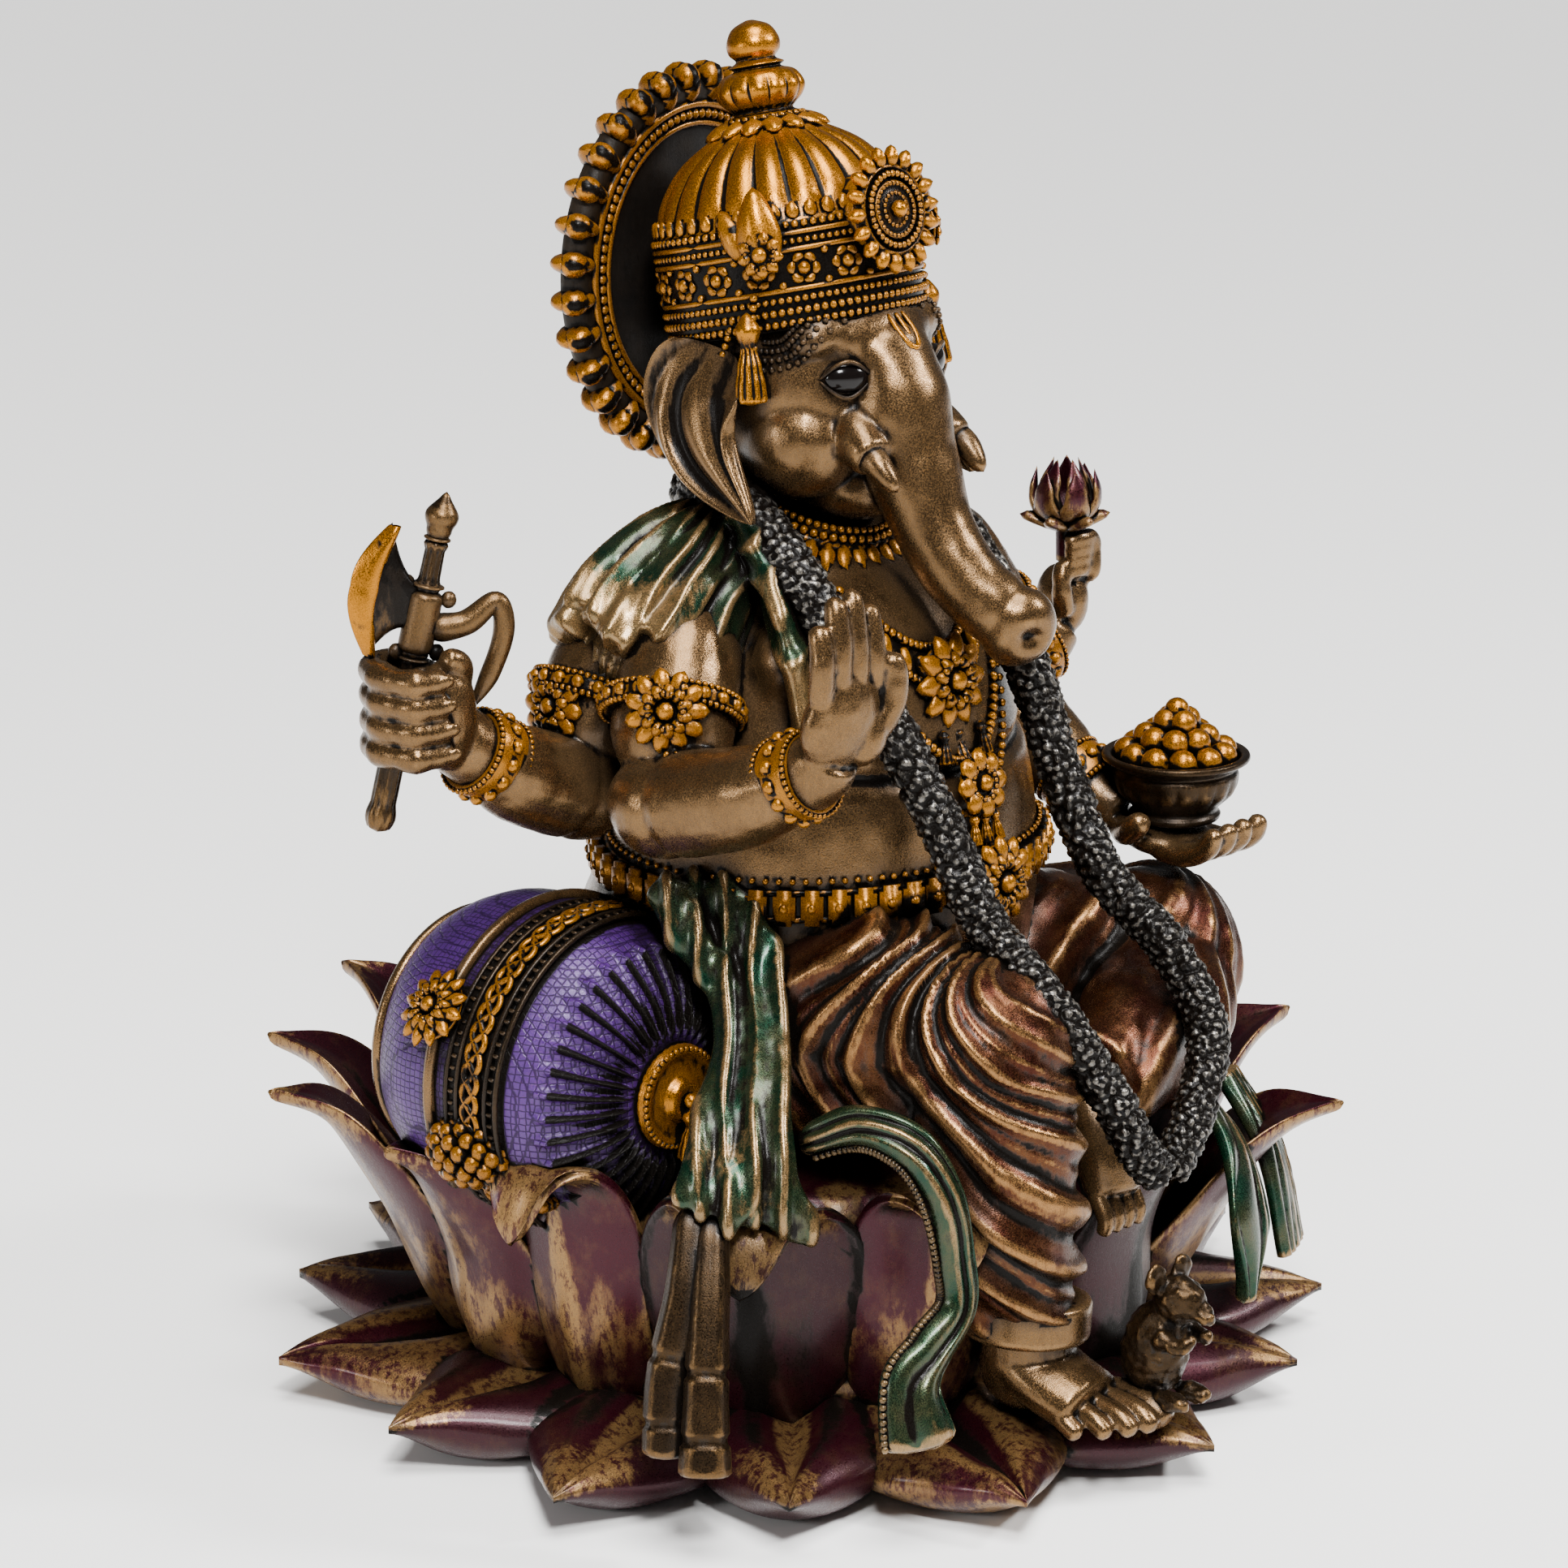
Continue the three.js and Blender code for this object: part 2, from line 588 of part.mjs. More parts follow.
function garland(grow) {
  const behind = [0, 15.5, 135];
  return tube(
    [...GARLAND_RIGHT, behind, ...GARLAND_LEFT],
    [GARLAND_RADIUS, GARLAND_RADIUS],
    grow,
    { sides: 6, steps: 38, thin: [0.05, 0.1, 1] },
  );
}

function band(at, facing, radius, width, grow) {
  return medal(at, facing, radius + BAND_THICKNESS, width, grow, 12);
}

function belt(grow) {
  const waist = GIRTH[2];
  const out = BAND_THICKNESS + grow;
  const shape = new THREE.Shape(ellipse(waist + out, waist * DEPTH_SHARE + out));
  const geometry = new THREE.ExtrudeGeometry(shape, { depth: BELT_WIDTH + 2 * grow, bevelEnabled: false });
  geometry.translate(0, SPINE[2][1], BELT_HEIGHT - BELT_WIDTH / 2 - grow);
  return solidOf(geometry);
}

function collar(grow) {
  return medal([0, -3, 137], [0, -0.45, 1], 14.5, 4, grow, 12);
}

function mouse(grow) {
  return fuse(
    ball([-3, -75, 21], [5.5, 5.5, 8.5], grow, 12),
    ball([-2, -78.5, 30], [3.8, 4.6, 4], grow, 0, 8),
    ball([-5, -77, 34], [2, 1.2, 2], grow, 0, 6),
    ball([1, -77, 34], [2, 1.2, 2], grow, 0, 6),
  );
}

const ROSETTES = [
  { name: 'chest_rosette', at: [0, -30, 114.5], facing: [0, -1, 0.15], radius: 6.4 },
  { name: 'breast_rosette', at: [0, -36.5, 100], facing: [0, -1, 0.3], radius: 5 },
  { name: 'belly_rosette', at: [0, -40, 85.5], facing: [0, -1, 0.05], radius: 6 },
  { name: 'front_armlet', at: [-43, -13.5, 115.5], facing: [-0.75, -0.62, 0.2], radius: 6.6 },
  { name: 'rear_armlet', at: [-44, 9, 112], facing: [-1, 0, 0.2], radius: 5.6 },
];

// ---------------------------------------------------------------- the castings, inner ones first
const CASTINGS = [
  ['lotus_base', 'maroon', lotusBase],
  ['lotus_seat', 'maroon', lotusSeat],
  ['torso', 'bronze', torso],
  ['head', 'bronze', head],
  ['right_leg', 'copper', rightLeg],
  ['left_leg', 'copper', leftLeg],
  ['right_foot', 'bronze', rightFoot],
  ['left_foot', 'bronze', leftFoot],
  ['crown', 'gold', crown],
  ['crown_finial', 'gold', crownFinial],
  ['crown_medallion', 'gold', crownMedallion],
  ['halo_rim', 'gold', haloRim],
  ['halo_disc', 'dark', haloDisc],
  ['right_ear', 'bronze', (grow) => ear(-1, grow)],
  ['left_ear', 'bronze', (grow) => ear(1, grow)],
  ['right_tusk', 'bronze', (grow) => tusk(-1, grow)],
  ['left_tusk', 'bronze', (grow) => tusk(1, grow)],
  ['axe', 'bronze', axe],
  ['lotus_bud', 'maroon', lotusBud],
  ['sweet_bowl', 'bronze', sweetBowl],
  ['sweets', 'gold', sweets],
  ['front_right_arm', 'bronze', frontRightArm],
  ['rear_right_arm', 'bronze', rearRightArm],
  ['front_left_arm', 'bronze', frontLeftArm],
  ['rear_left_arm', 'bronze', rearLeftArm],
  ['front_right_bracelet', 'gold', (grow) => band([-40.3, -36, 108.6], [0, 0.92, -0.32], 6.4, 5, grow)],
  ['rear_right_bracelet', 'gold', (grow) => band([-57.5, 9.2, 107], [-0.9, 0.12, 0.4], 6, 5, grow)],
  ['front_left_bracelet', 'gold', (grow) => band([43, -17.5, 89.2], [0, -0.82, -0.57], 6.2, 4.6, grow)],
  ['anklet', 'bronze', (grow) => band([-14.2, -59.5, 25.5], [0.08, 0.02, 1], 7.4, 5, grow)],
  ['garland', 'silver', garland],
  ['bolster', 'purple', bolster],
  ['shawl', 'green', shawl],
  ['side_drape', 'green', sideDrape],
  ['front_sash', 'green', frontSash],
  ['left_sash', 'green', leftSash],
  ['belt', 'gold', belt],
  ['collar', 'gold', collar],
  ...ROSETTES.map(({ name, at, facing, radius }) => [
    name, 'gold', (grow) => medal(at, facing, radius, ROSETTE_THICKNESS, grow),
  ]),
  ['mouse', 'bronze', mouse],
  ...UPPER_PETALS.map((petal, i) => [
    `petal_${String(i + 1).padStart(2, '0')}`, 'maroon', (grow) => upperPetal(petal, grow),
  ]),
];

function near(a, b) {
  const p = a.boundingBox();
  const q = b.boundingBox();
  return [0, 1, 2].every((i) => p.min[i] <= q.max[i] && q.min[i] <= p.max[i]);
}

const figurine = new THREE.Group();
const sockets = [];
for (const [name, material, make] of CASTINGS) {
  let casting = make(0);
  for (const socket of sockets) {
    if (near(casting, socket)) casting = casting.subtract(socket);
  }
  casting = mainBody(casting);
  figurine.add(meshOf(casting, name, MATERIALS[material]));
  sockets.push(make(GLUE_GAP));
}

export default figurine;
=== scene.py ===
# %% [markdown]
# # A seated elephant-headed deity, cold cast in bronze-filled resin
# The real thing is sculpted in wax, moulded in silicone and cast in resin that is full of bronze
# powder. Dark wax is rubbed into the hollows, the high spots are buffed bright, and some cloth,
# petals and jewels are tinted. So this file makes sculpted solids, works out where each one is
# hollow or proud, and lets one family of finishes read that.

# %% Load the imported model
import bpy
import bmesh
import math
import numpy as np
from mathutils import Euler, Matrix, Vector, noise
from mathutils.bvhtree import BVHTree


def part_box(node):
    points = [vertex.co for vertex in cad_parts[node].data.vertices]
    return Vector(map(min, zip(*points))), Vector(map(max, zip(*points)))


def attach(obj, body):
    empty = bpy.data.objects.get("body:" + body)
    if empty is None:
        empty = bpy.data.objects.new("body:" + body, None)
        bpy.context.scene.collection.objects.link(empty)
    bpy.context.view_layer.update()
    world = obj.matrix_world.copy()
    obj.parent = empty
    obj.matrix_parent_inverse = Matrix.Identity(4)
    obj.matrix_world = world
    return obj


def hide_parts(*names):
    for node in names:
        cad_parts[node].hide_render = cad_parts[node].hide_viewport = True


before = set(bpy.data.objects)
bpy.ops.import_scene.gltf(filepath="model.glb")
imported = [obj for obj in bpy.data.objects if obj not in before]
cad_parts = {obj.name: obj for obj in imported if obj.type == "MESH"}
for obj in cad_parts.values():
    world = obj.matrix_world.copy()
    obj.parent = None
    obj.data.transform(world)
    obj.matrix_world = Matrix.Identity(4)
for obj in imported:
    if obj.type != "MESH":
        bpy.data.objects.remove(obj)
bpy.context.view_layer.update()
MM = 0.001  # the pieces below are sculpted in millimetres
TAU = math.tau

# %% [markdown]
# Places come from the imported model: a point is asked for as a share of a casting's box.

# %% Places
def at(node, x=0.5, y=0.5, z=0.5):
    low, high = (Vector(corner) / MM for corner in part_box(node))
    return Vector(low[i] + (high[i] - low[i]) * share for i, share in enumerate((x, y, z)))


def size_of(node):
    return at(node, 1, 1, 1) - at(node, 0, 0, 0)


print("crown", at("crown"), size_of("crown"))

# %% [markdown]
# ## Camera, floor and light
# A long lens keeps the figure's proportions true. It looks slightly down from the figure's right.
# The floor and the world are pale, and three soft lamps draw long highlights on the metal.
# A broad light from above and in front, like a window, opens the shadows.

# %% Camera and light
def look(thing, target):
    thing.rotation_euler = (Vector(target) - thing.location).to_track_quat("-Z", "Y").to_euler()


camera = bpy.data.objects.new("camera", bpy.data.cameras.new("camera"))
camera.location = (-0.5485, -0.5115, 0.308)
camera.data.lens = 116.1
camera.data.sensor_width = 36
look(camera, (-0.00167, 0.00179, 0.0926))
bpy.context.scene.collection.objects.link(camera)
bpy.context.scene.camera = camera


def lamp(name, place, target, watts, width):
    made = bpy.data.objects.new(name, bpy.data.lights.new(name, "AREA"))
    made.location = place
    made.data.energy = watts
    made.data.size = width
    look(made, target)
    bpy.context.scene.collection.objects.link(made)


lamp("key", (-0.45, -0.55, 0.85), (0, 0, 0.1), 17, 0.2)
lamp("fill", (-0.9, 0.2, 0.3), (0, 0, 0.1), 2.5, 0.15)
lamp("rim", (0.45, -0.5, 0.6), (0, 0, 0.12), 7, 0.12)
sun = bpy.data.objects.new("window", bpy.data.lights.new("window", "SUN"))
sun.location = (-0.2, -0.5, 2.2)
sun.data.energy = 4.8
sun.data.angle = 0.5
look(sun, (0, 0, 0))
bpy.context.scene.collection.objects.link(sun)
world = bpy.data.worlds.new("studio")
world.use_nodes = True
world.node_tree.nodes["Background"].inputs["Color"].default_value = (1, 1, 1, 1)
world.node_tree.nodes["Background"].inputs["Strength"].default_value = 0.14
bpy.context.scene.world = world

# %% [markdown]
# ## Finishes
# Every finish is the same cast resin. A value called hollow is stored on each vertex: 0 on a proud
# edge, 0.5 on a flat, 1 in a crevice. The crevices keep black wax, the flats keep their tint and
# the proud edges are buffed to bare bronze. Fine grains of bronze powder sparkle all over.

# %% Colour and node helpers
def linear(hex_colour):
    parts = [int(hex_colour[i:i + 2], 16) / 255 for i in (0, 2, 4)]
    return (*[c / 12.92 if c < 0.04045 else ((c + 0.055) / 1.055) ** 2.4 for c in parts], 1)


def add(tree, kind, settings=None, inputs=None):
    made = tree.nodes.new(kind)
    for key, value in (settings or {}).items():
        setattr(made, key, value)
    for key, value in (inputs or {}).items():
        if isinstance(value, bpy.types.NodeSocket):
            tree.links.new(value, made.inputs[key])
        else:
            made.inputs[key].default_value = value
    return made


def ramp(tree, source, low, high):
    return add(tree, "ShaderNodeMapRange", {"interpolation_type": "SMOOTHSTEP"},
               {0: source, 1: low, 2: high}).outputs[0]


def blend(tree, share, first, second, how="MIX"):
    made = add(tree, "ShaderNodeMix", {"data_type": "RGBA", "blend_type": how},
               {0: share, 6: first, 7: second})
    return made.outputs[2]


def sums(tree, how, first, second):
    return add(tree, "ShaderNodeMath", {"operation": how}, {0: first, 1: second}).outputs[0]


GRAIN_MM = 0.22  # bronze powder that has clumped
PATCH_MM = 7.0  # patches where the buffing went further
BRUSH_MM = 1.3  # dabs of the stippling brush

# %% [markdown]
# One function mixes every finish. The casting is sprayed with a tint, brushed with black wax that
# stays in the hollows, and rubbed with a cloth that bares the bronze. The shader follows the same
# order with masks, because a mask made of the shape itself looks worn and not printed.

# %% The cast finish
# The wax colour darkens the crevices, and it also paints the shade in sheltered hollows and at contacts.
def cast_finish(name, tint, proud, wax_and_shade_colour="0B0806", metal=0.9, rough=0.34, share=0.7, coat=0.0,
                hollow_at=(0.56, 0.74), rubs=True, scales=0.0,
                stains=0.1, shade_depth=0.86, scratched=0.15):
    """tint is the glaze, proud the buffed metal, wax the crevices; share is how much metal shows on a flat.

    hollow_at is where the wax and the painted contact shade start and are full, the depth setting how dark
    the painted shade in sheltered places gets, in the wax colour, stains how uneven the wax is, scratched
    how much tint is left in brush strokes, scales a pattern's pitch in mm.
    """
    material = bpy.data.materials.new(name)
    material.use_nodes = True
    tree = material.node_tree
    shader = tree.nodes["Principled BSDF"]
    place = add(tree, "ShaderNodeTexCoord").outputs["Object"]

    def value(kind):
        return add(tree, "ShaderNodeAttribute", {"attribute_name": kind}).outputs["Fac"]

    def speckle(size_mm, detail=2.0, rough_share=0.6):
        return add(tree, "ShaderNodeTexNoise", None, {
            "Vector": place, "Scale": 1 / (size_mm * MM), "Detail": detail, "Roughness": rough_share,
        }).outputs["Fac"]

    grain = speckle(GRAIN_MM, 1.0)
    patch = speckle(PATCH_MM, 4.0)
    strokes = add(tree, "ShaderNodeMapping", None, {"Vector": place, "Scale": (1, 1, 0.35)}).outputs[0]
    dab = add(tree, "ShaderNodeTexNoise", None, {
        "Vector": strokes, "Scale": 1 / (BRUSH_MM * MM), "Detail": 5.0, "Roughness": 0.75}).outputs["Fac"]
    spread = sums(tree, "SUBTRACT", dab, 0.5)
    hollow = value("hollow")
    shown = sums(tree, "ADD", sums(tree, "MULTIPLY", sums(tree, "SUBTRACT", patch, 0.5), 0.7), share)
    edge = ramp(tree, sums(tree, "SUBTRACT", hollow, sums(tree, "MULTIPLY", spread, 0.25)), 0.44, 0.28)
    rubbed = ramp(tree, sums(tree, "ADD", value("bare"), sums(tree, "MULTIPLY", spread, 1.6)), 0.3, 0.75)
    if rubs:
        shown = sums(tree, "MAXIMUM", shown, sums(tree, "MAXIMUM", edge, rubbed))
    body = blend(tree, sums(tree, "MINIMUM", sums(tree, "MAXIMUM", shown, 0), 1), linear(tint),
                 linear(proud))
    body = blend(tree, sums(tree, "MULTIPLY", ramp(tree, grain, 0.54, 0.70), 0.6), body, linear("F0DCB8"),
                 "SOFT_LIGHT")
    body = blend(tree, sums(tree, "MULTIPLY", ramp(tree, grain, 0.48, 0.30), 0.22), body, linear(wax_and_shade_colour),
                 "MULTIPLY")
    scratch = sums(tree, "MULTIPLY", ramp(tree, dab, 0.52, 0.40), scratched)
    body = blend(tree, scratch, body, linear(tint))
    # Wax in the hollows, plus painted contact shade where pieces meet.
    hollow_wax_and_shade = sums(tree, "MAXIMUM", hollow, value("wax_and_contact_shade"))
    streaks = sums(tree, "ADD", sums(tree, "MULTIPLY", spread, 0.35),
                   sums(tree, "MULTIPLY", sums(tree, "SUBTRACT", patch, 0.5), stains))
    wax_and_shade = ramp(tree, sums(tree, "ADD", hollow_wax_and_shade, streaks), *hollow_at)
    wax_and_shade = sums(tree, "MULTIPLY", wax_and_shade, sums(tree, "SUBTRACT", 1.0, sums(tree, "MULTIPLY", rubbed, 0.5)))
    height = sums(tree, "ADD", sums(tree, "MULTIPLY", dab, 0.6), sums(tree, "MULTIPLY", grain, 0.3))
    if scales:
        scale = add(tree, "ShaderNodeTexVoronoi", {"feature": "DISTANCE_TO_EDGE"},
                    {"Vector": place, "Scale": 1 / (scales * MM), "Randomness": 0.2}).outputs["Distance"]
        line = ramp(tree, scale, 0.14, 0.03)
        wax_and_shade = sums(tree, "MAXIMUM", wax_and_shade, sums(tree, "MULTIPLY", line, 0.7))
        height = sums(tree, "SUBTRACT", height, line)
    # Painted shade: broad sheltered hollows are darkened towards the wax colour, less where the metal is
    # rubbed bare.
    shade = ramp(tree, sums(tree, "ADD", value("painted_shade"), sums(tree, "MULTIPLY", spread, 0.3)), 0.06,
                 0.70)
    spared = sums(tree, "SUBTRACT", 1.0, sums(tree, "MULTIPLY", rubbed, 0.75))
    body = blend(tree, sums(tree, "MULTIPLY", sums(tree, "MULTIPLY", shade, spared), shade_depth), body,
                 linear(wax_and_shade_colour))
    body = blend(tree, wax_and_shade, body, linear(wax_and_shade_colour))
    tree.links.new(body, shader.inputs["Base Color"])
    # Wax and painted shade both take away the metal's shine.
    dull = sums(tree, "MAXIMUM", wax_and_shade, sums(tree, "MULTIPLY", sums(tree, "MULTIPLY", shade, spared), shade_depth))
    unwaxed_and_unshaded = sums(tree, "SUBTRACT", 1.0, sums(tree, "MULTIPLY", dull, 0.85))
    tree.links.new(sums(tree, "MULTIPLY", unwaxed_and_unshaded, metal), shader.inputs["Metallic"])
    tree.links.new(sums(tree, "MULTIPLY", unwaxed_and_unshaded, 0.5), shader.inputs["Specular IOR Level"])
    roughness = add(tree, "ShaderNodeMapRange", None,
                    {0: grain, 1: 0.3, 2: 0.7, 3: rough - 0.10, 4: rough + 0.14})
    tree.links.new(roughness.outputs[0], shader.inputs["Roughness"])
    tree.links.new(sums(tree, "MULTIPLY", unwaxed_and_unshaded, coat), shader.inputs["Coat Weight"])
    shader.inputs["Coat Roughness"].default_value = 0.16
    bump = add(tree, "ShaderNodeBump", None, {"Height": height, "Strength": 0.4, "Distance": 0.00022})
    tree.links.new(bump.outputs["Normal"], shader.inputs["Normal"])
    return material


FINISH = {
    "bronze": cast_finish("cold_cast_bronze_buffed", "2A1E13", "705638", rough=0.25),
    "old_bronze": cast_finish("cold_cast_bronze_left_dark", "140E08", "5A442A", share=0.2),
    "gold": cast_finish("antique_gold_wash", "462706", "AE7012", rough=0.27, share=0.75,
                        hollow_at=(0.54, 0.68), shade_depth=0.5),
    "maroon": cast_finish("maroon_glaze_over_bronze", "300412", "7C5E38", metal=0.8, share=0.0, coat=0.15,
                          stains=0.3, hollow_at=(0.58, 0.78), shade_depth=0.45, scratched=0.85),
    "copper": cast_finish("brown_glaze_over_bronze", "30100A", "7C5A36", share=0.15, stains=0.2,
                          scratched=0.4, rough=0.28, hollow_at=(0.53, 0.70)),
    "green": cast_finish("green_glaze_over_bronze", "032A1A", "7E6440", metal=0.8, share=0.08,
                         scratched=0.3, coat=0.2, stains=0.3, rough=0.26, hollow_at=(0.52, 0.66)),
    "purple": cast_finish("purple_paint_satin", "2A0C48", "55287C", metal=0.15, rough=0.4, share=0.35,
                          rubs=False,
                          hollow_at=(0.54, 0.68), scales=1.05),
    "silver": cast_finish("pewter_wash", "0A0A0C", "7C7872", rough=0.3, share=0.0, hollow_at=(0.44, 0.54)),
    "dark": cast_finish("black_wax_dull", "0A0807", "3A2E20", metal=0.4, rough=0.5, share=0.05),
}
print("finishes", len(FINISH))

# %% [markdown]
# ## Modelling helpers
# A sculptor rolls, wraps and presses. The main tool here is a grid that is wrapped round a path:
# a rule says how far out each point lies, so a limb, a petal or a folded cloth is one closed skin.

# %% Paths
def path(points):
    pts = [Vector(p) for p in points]
    pts = [pts[0] * 2 - pts[1], *pts, pts[-1] * 2 - pts[-2]]

    def point(t):
        span = min(max(t, 0), 1) * (len(pts) - 3)
        i = min(int(span), len(pts) - 4)
        s = span - i
        a, b, c, d = pts[i:i + 4]
        return 0.5 * (2 * b + (c - a) * s + (2 * a - 5 * b + 4 * c - d) * s * s
                      + (3 * b - a - 3 * c + d) * s ** 3)

    return point


def between(values, t):
    span = min(max(t, 0), 1) * (len(values) - 1)
    i = min(int(span), len(values) - 2)
    s = span - i
    s = s * s * (3 - 2 * s)
    return values[i] * (1 - s) + values[i + 1] * s


def bump(x, middle, width):
    return math.exp(-((x - middle) / width) ** 2)


def power(x, exponent):
    return max(0.0, x) ** exponent


def pleat(x):
    return abs(math.sin(x)) ** 0.8  # round on top, sharp in the crease


def ridge(x):
    return (0.5 + 0.5 * math.cos(2 * x)) ** 1.8  # a narrow round ridge with a wide valley


def wobble(p, size, seed=0.0):
    return noise.noise(Vector((p[0] / size + seed, p[1] / size - seed, p[2] / size)))


# %% [markdown]
# A wrapped grid closes on itself round the path, and its two ends are pulled to a point, so every
# limb, cord and petal is one closed skin. Balls and beads come from the sphere operator.

# %% Wrapped grids and blobs
def lay(bm, part):
    """Lay a small shape into a bigger one by way of a mesh, which stays quick however big it gets."""
    mesh = bpy.data.meshes.new("part")
    part.to_mesh(mesh)
    part.free()
    bm.from_mesh(mesh)
    bpy.data.meshes.remove(mesh)


def loft(bm, place, steps, sides):
    part = bmesh.new()
    bmesh.ops.create_grid(part, x_segments=steps, y_segments=sides, size=0.5)
    for v in part.verts:
        v.co = place(v.co.x + 0.5, (v.co.y + 0.5) * TAU)
    bmesh.ops.remove_doubles(part, verts=part.verts, dist=1e-3)
    lay(bm, part)


def tube(bm, points, radii, sides=16, steps=24, flat=1.0, up=(0, 0, 1), skin=None, tip=0.1, tail=None):
    line = path(points)
    up = Vector(up)
    tail = tip if tail is None else tail

    def place(t, a):
        centre = line(t)
        along = (line(t + 1e-3) - line(t - 1e-3)).normalized()
        side = along.cross(up).normalized()
        high = side.cross(along)
        radius = between(radii, t) + (skin(t, a) if skin else 0)
        if t < tip:
            radius *= math.sqrt(max(0, 1 - (1 - t / tip) ** 2))
        if t > 1 - tail:
            radius *= math.sqrt(max(0, 1 - (1 - (1 - t) / tail) ** 2))
        return centre + side * radius * math.cos(a) + high * radius * flat * math.sin(a)

    loft(bm, place, steps, sides)


def ball(bm, place, size, turn=(0, 0, 0), sides=16):
    size = size if hasattr(size, "__len__") else (size,) * 3
    spin = Euler([math.radians(angle) for angle in turn]).to_matrix().to_4x4()
    matrix = Matrix.Translation(place) @ spin @ Matrix.Diagonal((*size, 1))
    part = bmesh.new()
    bmesh.ops.create_uvsphere(part, u_segments=sides, v_segments=max(4, sides * 2 // 3), radius=1,
                              matrix=matrix)
    lay(bm, part)


def bead(bm, place, radius):
    ball(bm, place, radius, sides=8)


def beads(bm, line, radius):
    """Beads that just touch, all along a line."""
    steps = [line(i / 60) for i in range(61)]
    total = sum((b - a).length for a, b in zip(steps, steps[1:]))
    count = max(2, round(total / (2.05 * radius)))
    for i in range(count):
        bead(bm, line(i / (count - 1)), radius)


# %% [markdown]
# Knobs, bowls and discs could be spun from a profile. A wrapped grid whose path is the profile
# gives the same shape and also takes ribs. A leaf is the smallest grid, and leaves make rosettes.

# %% Turned shapes and medals
def turned(bm, foot, axis, profile, ribs=None, steps=60, sides=64):
    """profile(t) gives radius and height along the axis; ribs(t, a) adds to the radius."""
    spin = Vector(axis).normalized().to_track_quat("Z", "Y").to_matrix()

    def place(t, a):
        radius, height = profile(t)
        if ribs and radius > 1e-6:
            radius += ribs(t, a)
        return Vector(foot) + spin @ Vector((radius * math.cos(a), radius * math.sin(a), height))

    loft(bm, place, steps, sides)


def through(profile):
    """A turned profile through corners, each given as radius and height."""
    rise = path([(r, h, 0) for r, h in profile])

    def at_share(t):
        p = rise(t)
        return max(0.0, p.x), p.y

    return at_share


def leaf(bm, root, tip, facing, half, thick, ridge=0.25, steps=8, sides=8, arch=0.0, blunt=1.6):
    """A small petal: facing is its upper side, and arch lifts its middle."""
    root = Vector(root)
    along = Vector(tip) - root
    facing = (Vector(facing) - along * Vector(facing).dot(along) / along.length_squared).normalized()
    side = along.cross(facing).normalized()

    def place(t, a):
        width = half * power(1 - abs(2 * power(t, 0.8) - 1) ** blunt, 0.7)
        u = math.cos(a)
        rise = thick * math.sin(a) * power(1 - abs(2 * t - 1) ** 4, 0.5)
        if math.sin(a) > 0:
            rise += thick * ridge * (1 - abs(u)) * math.sin(math.pi * t)
        return root + along * t + side * width * u + facing * (rise + arch * math.sin(math.pi * t))

    loft(bm, place, steps, sides)


# each row: its reach as a share of the radius, and its turn as a share of one petal
TWO_ROWS = ((1, 0), (0.66, 0.5))


def rosette(bm, centre, facing, radius, petals, boss=0.28, rows=((1.0, 0.0),), ring=True, blunt=1.6):
    """rows holds the reach of each row of petals, as a share of the radius, and its turn in petals."""
    facing = Vector(facing).normalized()
    spin = facing.to_track_quat("Z", "Y").to_matrix()
    centre = Vector(centre)
    thick = radius * 0.085
    for row, (reach, turn) in enumerate(rows):
        for i in range(petals):
            angle = (i + turn) * TAU / petals
            out = spin @ Vector((math.cos(angle), math.sin(angle), 0))
            root = centre + out * radius * boss * 0.8 + facing * thick * row * 1.4
            tip = centre + out * radius * reach + facing * (thick * row * 1.1)
            half = math.pi * radius * reach * 0.80 / petals
            leaf(bm, root, tip, facing, half, thick, arch=thick * 0.7, ridge=0.9, blunt=blunt)
    if ring:
        high = facing * thick * len(rows) * 1.3
        count = max(8, round(TAU * boss * radius * 1.35 / (radius * 0.17)))
        for i in range(count):
            angle = i * TAU / count
            out = spin @ Vector((math.cos(angle), math.sin(angle), 0))
            bead(bm, centre + out * radius * boss * 1.35 + high, radius * 0.085)
    ball(bm, centre + facing * thick * len(rows), (radius * boss * 0.75,) * 3, sides=12)
    turned(bm, centre - facing * thick * 2, facing,
           through([(0, 0), (radius * 0.7, 0), (radius * 0.66, thick * 2.0), (0, thick * 2.6)]), None, 10,
           32)


# %% [markdown]
# ## From clay to casting
# Limbs that flow into each other are fused by a voxel remesh and smoothed, as wax is. Then a rule
# moves the skin in and out to press folds into it.

# %% Fuse, sculpt, finish
def fused(bm, voxel=0.6, passes=4):
    mesh = bpy.data.meshes.new("clay")
    bmesh.ops.recalc_face_normals(bm, faces=bm.faces)
    bm.to_mesh(mesh)
    bm.free()
    clay = bpy.data.objects.new("clay", mesh)
    bpy.context.scene.collection.objects.link(clay)
    remesh = clay.modifiers.new("voxels", "REMESH")
    remesh.mode = "VOXEL"
    remesh.voxel_size = voxel
    smooth = clay.modifiers.new("smooth", "SMOOTH")
    smooth.factor = 0.5
    smooth.iterations = passes
    made = bpy.data.meshes.new_from_object(clay.evaluated_get(bpy.context.evaluated_depsgraph_get()))
    result = bmesh.new()
    result.from_mesh(made)
    bpy.data.objects.remove(clay)
    bpy.data.meshes.remove(made)
    return result


def press(bm, rule):
    bm.normal_update()
    for v, push in [(v, v.normal * rule(v.co)) for v in bm.verts]:
        v.co += push


def evened(mesh, values, times):
    """Values on the vertices, each averaged with its neighbours."""
    count = len(values)
    ends = np.empty(len(mesh.edges) * 2, dtype=np.int64)
    mesh.edges.foreach_get("vertices", ends)
    a, b = ends[0::2], ends[1::2]
    share = np.maximum(1, np.bincount(a, minlength=count) + np.bincount(b, minlength=count))
    for step in range(times):
        near = np.bincount(a, values[b], count) + np.bincount(b, values[a], count)
        values = 0.4 * values + 0.6 * near / share
    return values


